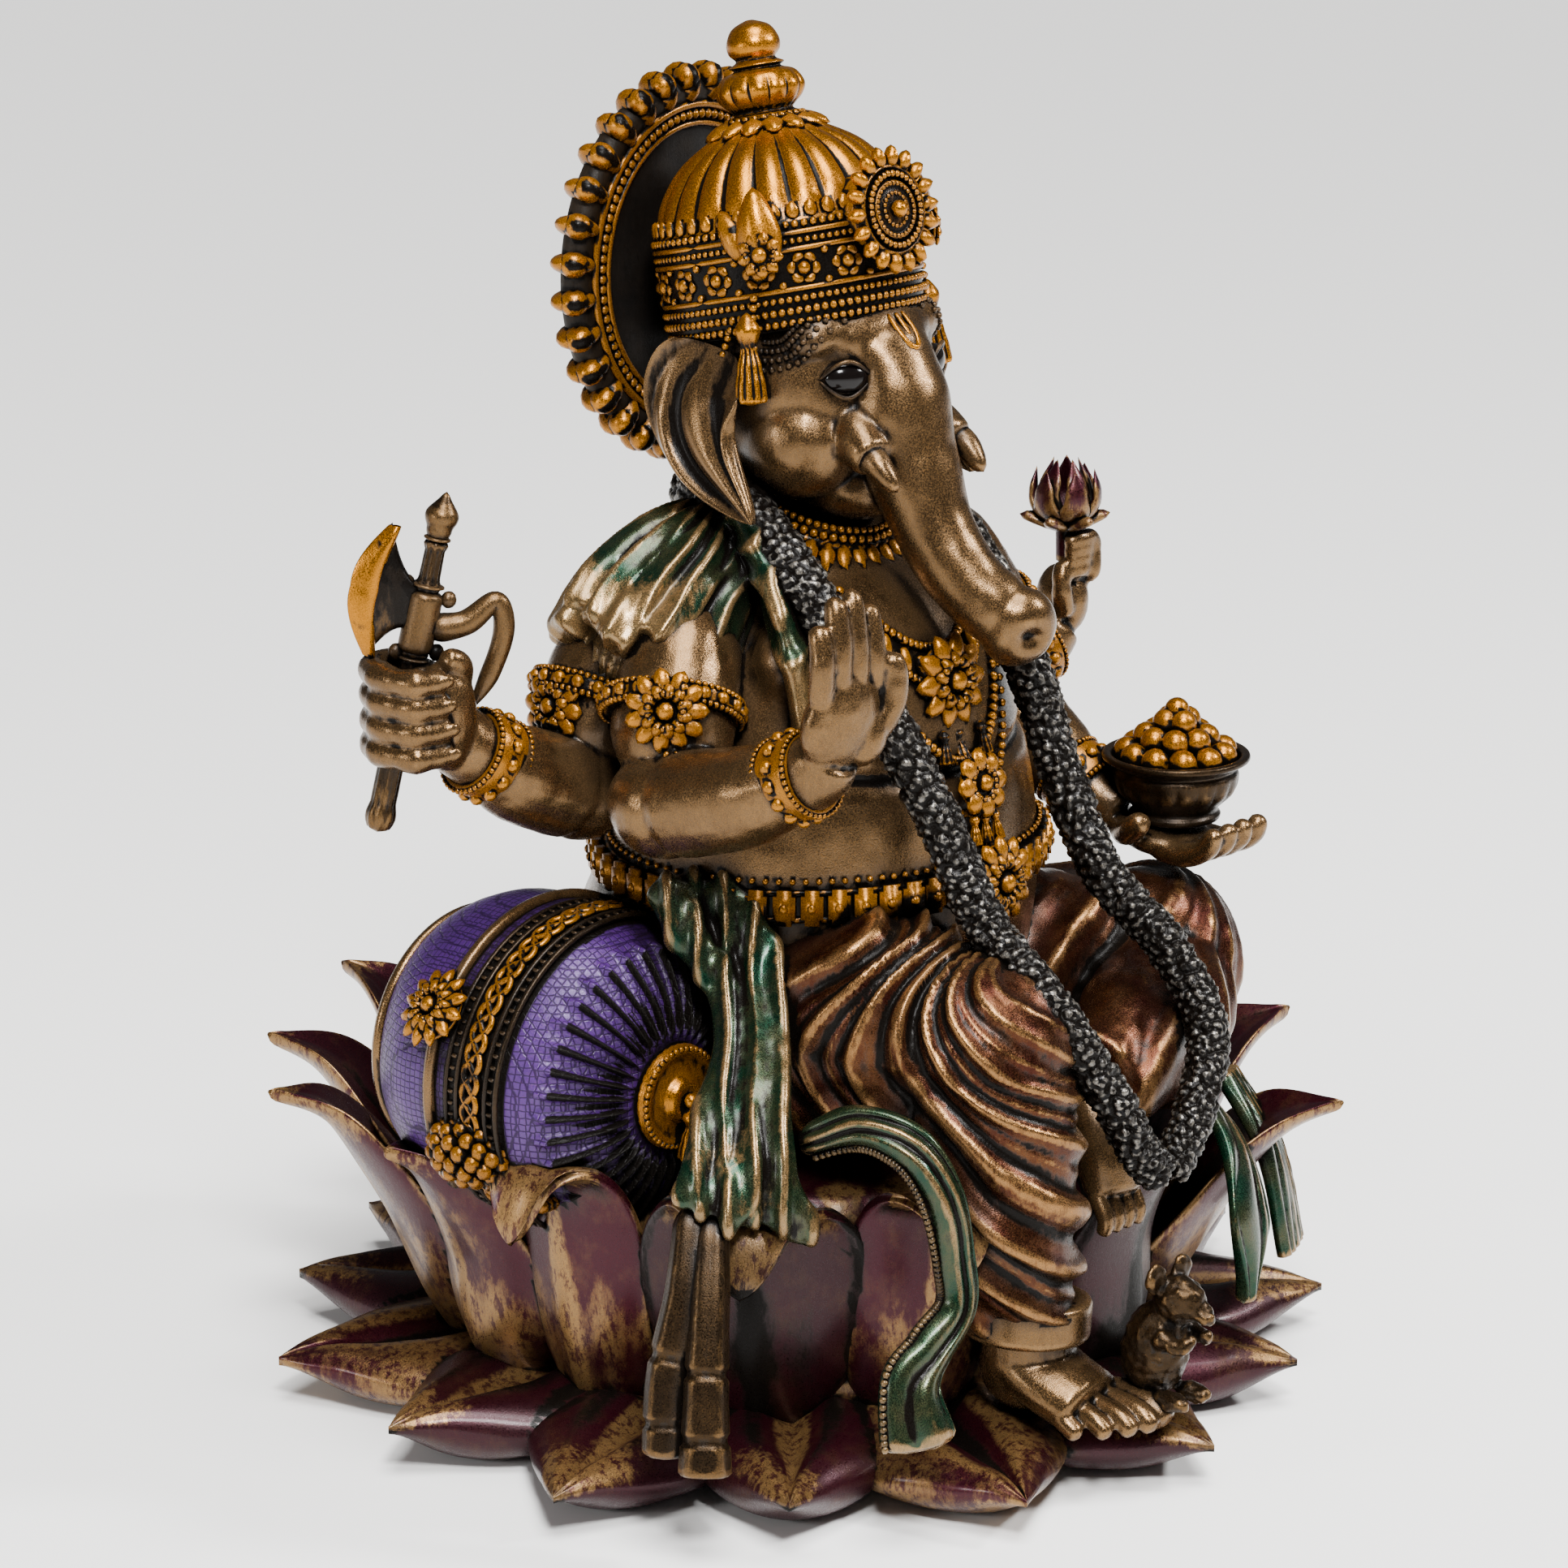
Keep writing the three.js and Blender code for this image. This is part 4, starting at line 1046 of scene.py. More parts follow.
def tassel(bm, top, foot, radius, flutes=10):
    def skin(t, a):
        return radius * (0.22 * (pleat(a * flutes / 2) - 0.6) if t > 0.38 else 0)

    line = Vector(foot) - Vector(top)
    up = (1, 0, 0) if abs(line.x) < abs(line.z) else (0, 0, 1)
    tube(bm, [top, foot], [radius * 0.35, radius * 0.9, radius * 0.5, radius * 0.8, radius, radius * 1.1],
         sides=flutes * 4, steps=30, up=up, skin=skin, tip=0.08, tail=0.05)


bm = bmesh.new()
for side in (-1, 1):
    leaf(bm, (side * 17.6, -9, 175), (side * 16.8, -6, 188), (side, -0.5, 0.1), 3.6, 1.4, ridge=1.0,
         steps=14, sides=12)
    leaf(bm, (side * 18.2, -6, 177), (side * 17.4, 0, 184), (side, -0.3, 0.1), 2.3, 1.1, ridge=1.0)
    rosette(bm, (side * 18.8, -9.5, 178.6), (side, -0.55, 0.1), 3.6, 9, boss=0.45)
    beads(bm, path([(side * 18.6, -8, 172), (side * 19.4, -8.5, 167), (side * 19.8, -9.5, 162)]), 0.6)
    tassel(bm, (side * 19.6, -7.5, 170), (side * 20.6, -9.5, 156.5), 2.1)
    beads(bm, path([(side * 18.9, -4, 168), (side * 19.6, -2, 160), (side * 21, -5, 153)]), 0.55)
piece("crown_drops", bm, "gold", reach=4, depth=0.45)

bm = bmesh.new()
for side in (-1, 1):
    for swing in (4.4, 5.7, 7.0, 8.3):
        for i in range(13):
            turn = math.radians(8 * i)
            start = Vector((side * 60, -8.5 - swing * math.cos(turn), 169.5 - swing * math.sin(turn)))
            hit = head_tree.ray_cast(start, Vector((-side, 0, 0)))
            if hit[0] is not None:
                bead(bm, hit[0] + hit[1] * 0.2, 0.5)
piece("temple_pearls", bm, "old_bronze", reach=3, depth=0.4)

# %% [markdown]
# The mark on the brow is a raised, gilded wire in a narrow U.

# %% Brow mark
bm = bmesh.new()


def on_face(x, z, lift):
    hit = head_tree.ray_cast(Vector((x, -200, z)), Vector((0, 1, 0)))
    return hit[0] + hit[1] * lift


tube(bm, [on_face(-1.5, 169, -0.1), on_face(-1.6, 166.6, -0.1), on_face(-1.0, 164.8, -0.1),
          on_face(0, 164.2, -0.1),
          on_face(1.0, 164.8, -0.1), on_face(1.6, 166.6, -0.1), on_face(1.5, 169, -0.1)], [0.4, 0.5, 0.4],
          sides=10, steps=50, up=(0, 1, 0))
tube(bm, [on_face(0, 168.8, -0.1), on_face(0, 165.8, -0.1)], [0.4, 0.5, 0.3], sides=10, steps=16,
     up=(0, 1, 0))
piece("brow_mark", bm, "gold", reach=4)

# %% [markdown]
# ## Halo
# A flat, dull disc inside a ring of thick rounded teeth, with rows of beads between them.

# %% Halo
HALO = at("halo_rim")
HALO_A = size_of("halo_rim").x / 2
HALO_B = size_of("halo_rim").z / 2


def on_halo(inset, angle, y=0.0):
    return HALO + Vector(((HALO_A - inset) * math.cos(angle), y, (HALO_B - inset) * math.sin(angle)))


bm = bmesh.new()
TEETH = 31
for i in range(TEETH):
    angle = i * TAU / TEETH
    lean_angle = math.degrees(math.atan2((HALO_B - 2) * math.sin(angle), (HALO_A - 2) * math.cos(angle)))
    spot = on_halo(2.2, angle, -0.4)
    ball(bm, spot, (3.4, 3.5, 1.7), (0, -lean_angle, 10), sides=16)
    ball(bm, spot + (spot - HALO).normalized() * 1.0 + Vector((0, -1.2, 0)), (2.3, 2.3, 2.0),
         (0, -lean_angle, 0), sides=12)
for inset, y, wire in ((5.4, -1.9, 0.7), (8.2, -1.9, 0.5)):
    ring = [on_halo(inset, i * TAU / 32, y) for i in range(33)]
    tube(bm, ring, [wire, wire], sides=10, steps=128, up=(0, 1, 0), tip=0.001)
for i in range(92):
    bead(bm, on_halo(6.8, i * TAU / 92, -2.0), 0.8)


def tooth_wax(p, n):
    """Wax lies between the teeth and in the scoop on the front of each."""
    off = p - HALO
    turns = math.atan2(off.z / (HALO_B - 2), off.x / (HALO_A - 2)) / TAU * TEETH
    beside = abs(turns - round(turns))
    far = math.hypot(off.x / HALO_A, off.z / HALO_B)
    scoop = bump(beside, 0, 0.22) if n.y < -0.2 and 0.90 < far < 1.03 else 0.0
    return max((beside - 0.28) * 5, scoop * 0.9) * (far > 0.84) + 0.2 * wobble(p, 2)


piece("halo_teeth", bm, "gold", ["halo_rim"], reach=4, depth=0.7, grime=tooth_wax)
bm = bmesh.new()


def disc_profile(t):
    radius = 1 - abs(2 * t - 1)
    return radius * 22, (1.5 if t > 0.5 else -1.5) * (1 - power(radius, 6) * 0.1)


turned(bm, HALO, (0, -1, 0), disc_profile, None, 60, 96)
for v in bm.verts:
    off = v.co - HALO
    v.co.x = HALO.x + off.x * (HALO_A - 4.6) / 22
    v.co.z = HALO.z + off.z * (HALO_B - 4.6) / 22
    v.co.y += 0.25 * wobble(v.co, 5)
ball(bm, (1, 21, 168), (9, 6, 9), sides=20)
for inset, wire in ((3.4, 2.4), (6.4, 1.7)):
    tube(bm, [on_halo(inset, i * TAU / 32) for i in range(33)], [wire, wire], sides=12, steps=128,
         up=(0, 1, 0), tip=0.001)
piece("halo_plate", bm, "dark", ["halo_disc"], reach=8)

# %% [markdown]
# ## Arms and hands
# Each arm is fused clay from shoulder to fingertips. Fingers are slim tubes that bend where a
# finger does.

# %% Arms
def finger(bm, points, radius=1.9):
    tube(bm, points, [radius, radius * 1.02, radius * 0.95, radius * 0.8], sides=14, steps=18, tip=0.14,
         up=(0.1, 0.2, 1))


def knuckles(t, a):
    return (0.3 * bump(t, 0.42, 0.05) + 0.3 * bump(t, 0.74, 0.05)
            - 0.3 * bump(t, 0.58, 0.05) - 0.2 * bump(t, 0.84, 0.03))


def skin_press(p):
    return 0.10 * wobble(p, 2.2) + 0.2 * wobble(p, 8, 2)


bm = bmesh.new()
tube(bm, [(-24, -1, 127), (-31, -5, 119), (-37, -9, 111), (-42.5, -12, 102)], [7.5, 9.2, 9.2, 8.2],
     sides=32, steps=30, up=(0, 1, 0), tip=0.3)
ball(bm, (-42.3, -12.5, 101), (8.4, 8.6, 8.2), sides=24)
tube(bm, [(-42.5, -13, 101), (-42, -27, 104.5), (-40, -39, 110), (-39, -42, 114)], [8.2, 7.6, 5.4, 5.2],
     sides=28, steps=30)
ball(bm, (-38.6, -44, 118.5), (7.6, 3.6, 7.6), (8, 0, 0), sides=20)
ball(bm, (-34.5, -45, 116), (3.4, 3.2, 4.8), (0, 20, 0), sides=14)
for i, reach in enumerate((133.6, 137.2, 137.8, 135.0)):
    x = -44.0 + i * 3.55
    finger(bm, [(x * 0.99, -44.4, 121), (x, -45.2, 127), (x + 0.3, -44.8, (reach + 127) / 2),
                (x + 0.5, -43.6, reach)], 1.95)
finger(bm, [(-34, -45, 115), (-31.2, -46.5, 119.5), (-30.4, -46.9, 124), (-31, -46.5, 128)], 2.1)
bm = fused(bm, 0.45, 4)
press(bm, skin_press)
piece("front_right_arm_skin", bm, "bronze", ["front_right_arm"], reach=12, depth=0.6)

bm = bmesh.new()
tube(bm, [(-25, 8, 125), (-33.5, 8.6, 113), (-40.5, 7, 100)], [8.0, 9.4, 8.2], sides=32, steps=30,
     up=(0, 1, 0), tip=0.3)
ball(bm, (-40.5, 7, 99.5), 8.2, sides=24)
tube(bm, [(-41, 7, 99.5), (-51, 8, 103), (-60, 9.5, 108.5), (-64, 11, 112)], [8.2, 7.4, 5.4, 5.2], sides=28,
     steps=30)
ball(bm, (-67.5, 12.5, 115.8), (5.6, 6.0, 7.6), sides=20)
for i in range(4):
    z = 122.0 - i * 3.7
    tube(bm, [(-67, 16.5, z + 0.4), (-72, 17.6, z), (-74.6, 13.4, z - 0.2), (-74.8, 8.6, z - 0.3),
              (-73, 5.6, z - 0.3), (-69.4 + 0.4 * i, 4.6, z - 0.2)],
         [1.9, 2.1, 2.15, 2.2, 2.0, 1.9], sides=16, steps=30, tip=0.06, up=(0.1, 0.2, 1), skin=knuckles)
    ball(bm, (-70.6 + 0.4 * i, 2.9, z + 0.1), (1.2, 0.5, 1.15), (0, 0, -14), sides=10)
ball(bm, (-66.6, 8.2, 115.4), (4.8, 4.4, 8.4), sides=20)
finger(bm, [(-64, 9, 118), (-65, 6.6, 122.6), (-68.4, 6.6, 124.6)], 2.0)
bm = fused(bm, 0.4, 2)
press(bm, skin_press)
piece("rear_right_arm_skin", bm, "bronze", ["rear_right_arm"], reach=12, depth=0.6)

bm = bmesh.new()
tube(bm, [(22, -2, 129), (30, -2, 123), (37, -3, 113), (43, -3, 100)], [7.5, 9.6, 9.4, 8], sides=32,
     steps=30, up=(0, 1, 0), tip=0.3)
ball(bm, (43, -3, 99), 8.2, sides=24)
tube(bm, [(43, -4, 98.5), (43.5, -13, 92), (44, -21, 87), (46, -27, 83)], [8, 7.0, 5.2, 5.4], sides=28,
     steps=30)
ball(bm, (49, -33, 80.8), (8, 8.6, 2.9), (8, 0, 20), sides=20)
for i in range(4):
    x = 43.8 + i * 3.7
    finger(bm, [(x, -34, 80.4), (x + 0.8, -40, 79.6), (x + 1.3, -44.4, 81.4), (x + 1.5, -46.2, 85)], 1.95)
finger(bm, [(44, -28, 82), (39.6, -33, 83), (38.4, -37.4, 86.4)], 2.1)
bm = fused(bm, 0.45, 4)
press(bm, skin_press)
piece("front_left_arm_skin", bm, "bronze", ["front_left_arm"], reach=12, depth=0.6)

bm = bmesh.new()
tube(bm, [(22, 9, 128), (30, 8.4, 122), (37, 7, 112), (43, 5, 99.5)], [7.5, 9.2, 9, 8], sides=32, steps=30,
     up=(0, 1, 0), tip=0.3)
ball(bm, (43, 5, 99), 8, sides=24)
tube(bm, [(43.5, 5, 99), (52, 3.8, 100.4), (60, 2.5, 103.4), (63, 2.2, 106.5)], [8, 7, 5, 4.8], sides=28,
     steps=30)
ball(bm, (64.6, 2, 110), (3.8, 4.8, 6), sides=18)
for i in range(4):
    z = 112.0 + i * 1.6
    finger(bm, [(66.5, 4 - i * 2.2, 110 + i), (67.2, 0.5 - i * 0.8, z + 3), (64.4, -2.2, z + 4),
                (61.0, -1.2, z + 3.4)], 1.6)
finger(bm, [(62, -1, 108), (60.4, -1.4, 113), (61.6, -0.6, 117.6)], 1.7)
bm = fused(bm, 0.45, 4)
press(bm, skin_press)
piece("rear_left_arm_skin", bm, "bronze", ["rear_left_arm"], reach=12, depth=0.6)

# %% [markdown]
# ## What the hands hold
# The axe has a crescent blade, a block socket, a bud on top and a hooked goad at the back.

# %% Axe
bm = bmesh.new()
SHAFT_FOOT, SHAFT_TOP = Vector((-73.3, 16, 97.5)), Vector((-65.2, 10.3, 142))
SHAFT = (SHAFT_TOP - SHAFT_FOOT).normalized()
BLADE_WAY = (Vector((-0.8, 0.6, 0)) - SHAFT * Vector((-0.8, 0.6, 0)).dot(SHAFT)).normalized()
BLADE_FACE = BLADE_WAY.cross(SHAFT)
AXE_LENGTH = (SHAFT_TOP - SHAFT_FOOT).length


def on_axe(across, along, out=0.0):
    return SHAFT_FOOT + SHAFT * (AXE_LENGTH + along) + BLADE_WAY * across + BLADE_FACE * out


def staff_rings(t, a):
    return 0.12 * math.cos(8 * a) + 0.35 * bump(math.sin(t * 40), 1, 0.25)


tube(bm, [on_axe(0, -AXE_LENGTH), on_axe(0, -24), on_axe(0, -14), on_axe(0, -1)], [1.8, 1.8, 1.6, 1.35],
     sides=32, steps=90, up=(0, 1, 0), skin=staff_rings, tip=0.02)
tube(bm, [on_axe(0, -18.5), on_axe(0, -8.5)], [2.6, 2.6], sides=20, steps=20, up=(0, 1, 0), tip=0.12)
tube(bm, [on_axe(0, -1.5), on_axe(0, 0.4), on_axe(0, 2.4), on_axe(0, 6.0)], [1.4, 1.9, 2.5, 0.9], sides=20,
     steps=24, up=(0, 1, 0), tip=0.12, tail=0.3)
for spot in ((2.6, -18.5), (-3.2, -17.6), (3.0, -8.2), (-3.4, -9.6), (-3.2, -13.6)):
    ball(bm, on_axe(*spot), (1.3, 1.1, 1.3), sides=10)
for height in (-19, -8, -1):
    tube(bm, [on_axe(0, height - 0.4), on_axe(0, height + 0.4)], [2.5 if height < -1 else 2.0] * 2,
         sides=20, steps=8, up=(0, 1, 0), tip=0.4)


def blade(t, a):
    s = 2 * t - 1
    reach = 4.4 + 6.0 * math.cos(1.45 * s)
    u = (1 + soften(math.cos(a), 0.7)) / 2
    along = -11.5 + s * (3.4 + 6.8 * u ** 2.2) + 1.5 * u
    across = 1.0 + (reach - 0.5) * u + 1.2 * abs(s) * u
    thick = (1.6 * power(1 - u, 0.6) + 0.2) * power(1 - s ** 8, 0.5)
    return on_axe(across, along, thick * math.sin(a))


loft(bm, blade, 40, 40)
tube(bm, [on_axe(-1, -14.5), on_axe(-6.5, -12.5), on_axe(-10.2, -8.6), on_axe(-12.2, -12.5),
          on_axe(-11.6, -19), on_axe(-9.6, -25.5)],
     [2.4, 1.9, 1.5, 1.6, 1.5, 0.6], sides=14, steps=60, up=BLADE_FACE)
edge = bmesh.new()


def gilt_edge(t, a):
    plain = blade(0.02 + 0.96 * t, a)
    inward = BLADE_WAY * (-4.6 * (1 - 0.6 * (2 * t - 1) ** 2) * (1 - (1 + math.cos(a)) / 2))
    middle = blade(0.02 + 0.96 * t, 0)
    return middle + inward + BLADE_WAY * 0.15 + BLADE_FACE * (plain - middle).dot(BLADE_FACE) * 0.98


loft(edge, gilt_edge, 40, 24)
piece("axe_gilt_edge", edge, "gold", reach=4, depth=3, grime=lambda p, n: 0.40 + 0.4 * wobble(p, 2))
piece("axe_casting", bm, "old_bronze", ["axe"], reach=6, depth=0.5,
      bare=lambda p, n: 0.25 + 0.8 * wobble(p, 4))

# %% [markdown]
# The lotus bud is two whorls of the same small leaf: sepals laid flat, petals standing up.

# %% Bud
bm = bmesh.new()
BUD = at("lotus_bud", 0.5, 0.5, 0)
tube(bm, [BUD + Vector((0, 0, 0.4)), BUD + Vector((0, 0, 8))], [1.4, 1.5], sides=12, steps=12, up=(0, 1, 0))
for i in range(6):
    angle = i * TAU / 6 + 0.3
    out = Vector((math.cos(angle), math.sin(angle), 0))
    leaf(bm, BUD + Vector((0, 0, 6.2)) + out * 1.0, BUD + Vector((0, 0, 8.8)) + out * 7.4,
         Vector((0, 0, 1)) - out * 0.3, 1.9, 0.7, ridge=1.2)
piece("bud_sepals", bm, "maroon", reach=6)
bm = bmesh.new()
for row, (count, spread, rise) in enumerate(((6, 3.6, 9.6), (5, 2.4, 11.2))):
    for i in range(count):
        angle = (i + row * 0.5) * TAU / count
        out = Vector((math.cos(angle), math.sin(angle), 0))
        base = BUD + Vector((0, 0, 6.8))
        line = [base + out * 1.0, base + out * (spread + 1.4) + Vector((0, 0, rise * 0.42)),
                base + out * (spread - 0.4 + 1.5 * (1 - row)) + Vector((0, 0, rise))]
        tube(bm, line, [1.4, 2.8, 1.9, 0.5], sides=14, steps=20, flat=0.36, up=out, tip=0.12, tail=0.2)
piece("bud_petals", bm, "maroon", ["lotus_bud"], reach=8, depth=0.6)

# %% [markdown]
# The bowl is turned. The sweets are balls stacked in rings, each ring smaller than the last.

# %% Bowl and sweets
bm = bmesh.new()
BOWL = at("sweet_bowl", 0.5, 0.5, 0)
BOWL_WALL = through([(0, 1), (4.5, 0.6), (6.6, 0), (7.2, 0.8), (6.8, 2.0), (9.2, 4.6), (9.9, 7.2),
                     (9.5, 8.4), (10.6, 9.2), (11.6, 9.8),
                     (11.4, 10.6), (10.2, 10.4), (8.8, 8.2), (0, 7.6)])


def flutes(t, a):
    height = BOWL_WALL(t)[1]
    return 0.35 * (pleat(a * 9) - 0.6) * bump(height, 5.2, 1.8) if t < 0.5 else 0


turned(bm, BOWL, (0, 0, 1), BOWL_WALL, flutes, 80, 144)
piece("bowl", bm, "old_bronze", ["sweet_bowl"], reach=8, depth=0.5)
bm = bmesh.new()
for ring, count, height, size in ((7.6, 11, 10.6, 2.3), (4.6, 8, 13.0, 2.3), (1.9, 4, 15.6, 2.2),
                                  (0, 1, 17.4, 2.0)):
    for i in range(count):
        angle = (i + height * 0.37) * TAU / count
        ball(bm, BOWL + Vector((ring * math.cos(angle), ring * math.sin(angle), height)), size, sides=14)
piece("sweet_balls", bm, "gold", ["sweets"], reach=6, depth=1.2)

# %% [markdown]
# ## Bolster
# A sculpted roll cushion with a domed end, gathered in ribs to a button. It is resin, not cloth.

# %% Bolster body
bm = bmesh.new()
BOLSTER = at("bolster", 0.5, 0.0, 0.5)
BOLSTER_BACK = at("bolster", 0.5, 1.0, 0.5)
turned(bm, BOLSTER_BACK, (0, -1, 0), through([(0, 0), (11, 1.6), (19.5, 6), (24, 14), (24.6, 22),
                                              (24.4, 32), (23.4, 37), (20.6, 42), (15, 46.2), (8, 48.6),
                                              (0, 49.2)]),
       None, 116, 648)


def slot(p):
    off = p - BOLSTER
    radius = math.hypot(off.x, off.z)
    if off.y > 14:
        return 0.0
    share = min(1, power((radius - 8.5) / 2, 1)) * min(1, power((21.8 - radius) / 1.5, 1))
    return share * bump(math.sin(math.atan2(off.z, off.x) * 18), 0, 0.30 + 0.012 * radius)


def cushion_wax(p, n):
    band = p.y - BOLSTER.y
    return max(1.6 * slot(p), 1.0 if 12.0 < band < 23.2 else 0.0)


def gathers(p):
    return 0.06 * wobble(p, 2) + 0.25 * wobble(p, 14) - 1.5 * slot(p)


press(bm, gathers)
piece("bolster_cushion", bm, "purple", ["bolster"], reach=6, depth=1.4, grime=cushion_wax)

# %% [markdown]
# The braid is three wavy wires a third of a wave apart, which reads as plaiting. Ladder bands run
# beside it, and a turned hub closes the end where the cloth is gathered.

# %% Bolster trimmings
bm = bmesh.new()


def round_bolster(y, radius, angle):
    return BOLSTER + Vector((radius * math.cos(angle), y, radius * math.sin(angle)))


def hoop(y, radius, wire, waves=0, swing=0.0, start=0.0, sides=8):
    count = 48 if not waves else waves * 8
    line = [round_bolster(y + swing * math.sin(waves * i * TAU / count + start), radius,
                          i * TAU / count) for i in range(count + 1)]
    tube(bm, line, [wire, wire], sides=sides, steps=count * 2, up=(0, 1, 0), tip=0.001)


for start in (0, TAU / 3, 2 * TAU / 3):
    hoop(17.6, 24.9, 0.6, waves=17, swing=1.5, start=start, sides=6)
piece("bolster_braid", bm, "gold", reach=3, depth=0.5, grime=lambda p, n: 0.30 + 0.5 * wobble(p, 5))
bm = bmesh.new()
for y in (14.6, 20.6, 12.4, 22.8):
    hoop(y, 24.75, 0.42)
for y in (13.5, 21.7):
    for i in range(88):
        ball(bm, round_bolster(y, 24.8, i * TAU / 88), (0.36, 0.8, 0.36), (0, 0, 0), sides=6)
piece("bolster_ladders", bm, "old_bronze", reach=3, depth=0.5)
bm = bmesh.new()
HUB = through([(0, 0), (7.2, 0.2), (7.8, 1.4), (7.0, 2.2), (5.6, 1.7), (4.0, 1.9), (3.4, 2.5), (2.6, 3.4),
               (1.2, 3.2), (0, 3.4)])
turned(bm, BOLSTER + Vector((0, 0.4, 0)), (0, -1, 0), HUB, None, 50, 72)
for i in range(44):
    angle = i * TAU / 44
    bead(bm, BOLSTER + Vector((7.4 * math.cos(angle), -1.5, 7.4 * math.sin(angle))), 0.5)
ball(bm, BOLSTER + Vector((0, -3.6, 0)), (1.2, 1.2, 1.2), sides=14)
tassel(bm, BOLSTER + Vector((0, -4, -0.6)), BOLSTER + Vector((0.6, -3.0, -9.5)), 1.9)
rosette(bm, at("bolster", 0.0, 0.55, 0.5) + Vector((1.2, 0, 13)), (-1, 0.1, 0.75), 6.5, 12, rows=TWO_ROWS)
piece("bolster_hub", bm, "gold", reach=4, depth=0.5)
bm = bmesh.new()
for y, radius in ((26.4, 24.8), (43.4, 19.4)):
    hoop(y, radius, 1.0)
piece("bolster_net", bm, "bronze", reach=3, depth=0.5)

# %% [markdown]
# A bunch of small gold berries hangs where the bolster meets the petals.

# %% Bead cluster beside the bolster
bm = bmesh.new()
for i in range(64):
    share = (i + 0.5) / 64
    angle = i * 2.4
    z = 1 - 2 * share
    out = Vector((math.cos(angle) * math.sqrt(1 - z * z), math.sin(angle) * math.sqrt(1 - z * z), z))
    ball(bm, Vector((-68, 3, 50)) + Vector((out.x * 4.4, out.y * 6.5, out.z * 4.4)), 1.4, sides=8)
for row in range(3):
    beads(bm, path([(-66.5 + row, 0, 50), (-65.8 + row, -4, 47), (-64 + row, -8, 43)]), 1.2)
piece("bead_cluster", bm, "gold", reach=4, depth=1.6)

# %% [markdown]
# ## Sculpted cloth
# Shawl, drapes and sashes are part of the casting. The sashes are wrapped grids with pleats along
# them. The side drape and the shawl are tapering strands, fused and pressed.

# %% Ribbons
def ribbon(bm, points, widths, thick, up, pleats=5, depth=1.0, sides=64, steps=90, twist=None, curl=0.0):
    line = path(points)
    up = Vector(up)

    def place(t, a):
        centre = line(t)
        along = (line(t + 1e-3) - line(t - 1e-3)).normalized()
        side = along.cross(up).normalized()
        high = side.cross(along)
        if twist:
            spin = Matrix.Rotation(math.radians(between(twist, t)), 3, along)
            side, high = spin @ side, spin @ high
        width = between(widths, t)
        end = power(min(1, t / 0.03, (1 - t) / 0.02), 0.5)
        u = soften(math.cos(a), 0.85)
        v = soften(math.sin(a), 0.6)
        flow = (u + 0.22 * math.sin(3 * t + 2.5 * u)) * pleats * math.pi / 2
        phase = flow + 1.3 * wobble(centre + side * width * u * 0.7, 13)
        fold = depth * (pleat(phase) - 0.5) * (1 if v > 0 else -0.3)
        return (centre + side * width * u * (0.4 + 0.6 * end)
                + high * (thick * v + fold * abs(v) + curl * u * u) * end)

    loft(bm, place, steps, sides)


bm = bmesh.new()
STRANDS = [
    ([(-40.2, -9, 89), (-40.2, -15, 80.8), (-39.9, -21, 74.5), (-43.2, -26, 68.2), (-49.3, -30, 62.6),
      (-57.2, -34, 56.8),
      (-63.4, -36, 49)], [3.6, 3.2, 2.6, 2.6, 2.8, 2.6, 2.2]),
    ([(-36.9, -10, 89), (-36.4, -14, 82.5), (-36.6, -20.5, 75.7), (-40, -26, 70.2), (-45.8, -32, 63.5),
      (-52.9, -36, 57.5),
      (-62, -38.5, 48)], [3.4, 3.2, 3.0, 2.8, 2.6, 2.6, 2.2]),
    ([(-35.5, -13, 88), (-34.2, -20, 80.5), (-35.6, -25, 74.4), (-40.4, -30, 67.1), (-47.3, -36, 60.8),
      (-53.4, -40, 55.2),
      (-60.8, -42, 46)], [2.6, 3.0, 3.0, 2.6, 3.0, 3.0, 2.4]),
    ([(-33.8, -14, 88.5), (-33.3, -21, 81.9), (-34.8, -26, 75.1), (-39.6, -31, 68.5), (-45.9, -37, 62),
      (-50.1, -42, 55.4),
      (-52.1, -45.5, 44.5)], [2.4, 3.0, 3.0, 2.6, 3.0, 3.4, 3.2]),
    ([(-38, -20, 78), (-41, -27, 69), (-47.5, -33, 62), (-53, -38.5, 55), (-56.5, -42, 46)],
     [1.6, 2.0, 2.4, 3.0, 2.6]),
    ([(-38, -29, 72), (-43, -35, 65), (-48, -40, 58), (-50.5, -44.5, 50), (-48.5, -47.5, 43)],
     [1.4, 2.0, 2.8, 3.0, 2.4]),
]
for points, radii in STRANDS:
    tube(bm, points, radii, sides=28, steps=70, flat=0.75, up=(0.75, 0.65, -0.2), tip=0.06)
bm = fused(bm, 0.45, 3)


def drape_press(p):
    across = (p.x - p.y) * 0.7 + 0.5 * wobble(p, 12, 2)
    return 1.0 * (ridge(across * 0.75 + 1.2 * wobble(p, 15, 4)) - 0.4) + 0.08 * wobble(p, 2)


press(bm, drape_press)
piece("drape_cascade", bm, "green", ["side_drape"], reach=12, depth=0.9,
      bare=lambda p, n: 0.9 * wobble(p, 9, 6))
bm = bmesh.new()


def tail_rings(t, a):
    return -0.45 * bump(math.sin(t * 24), 1, 0.12) * (t > 0.35) + 0.18 * math.sin(5 * a)


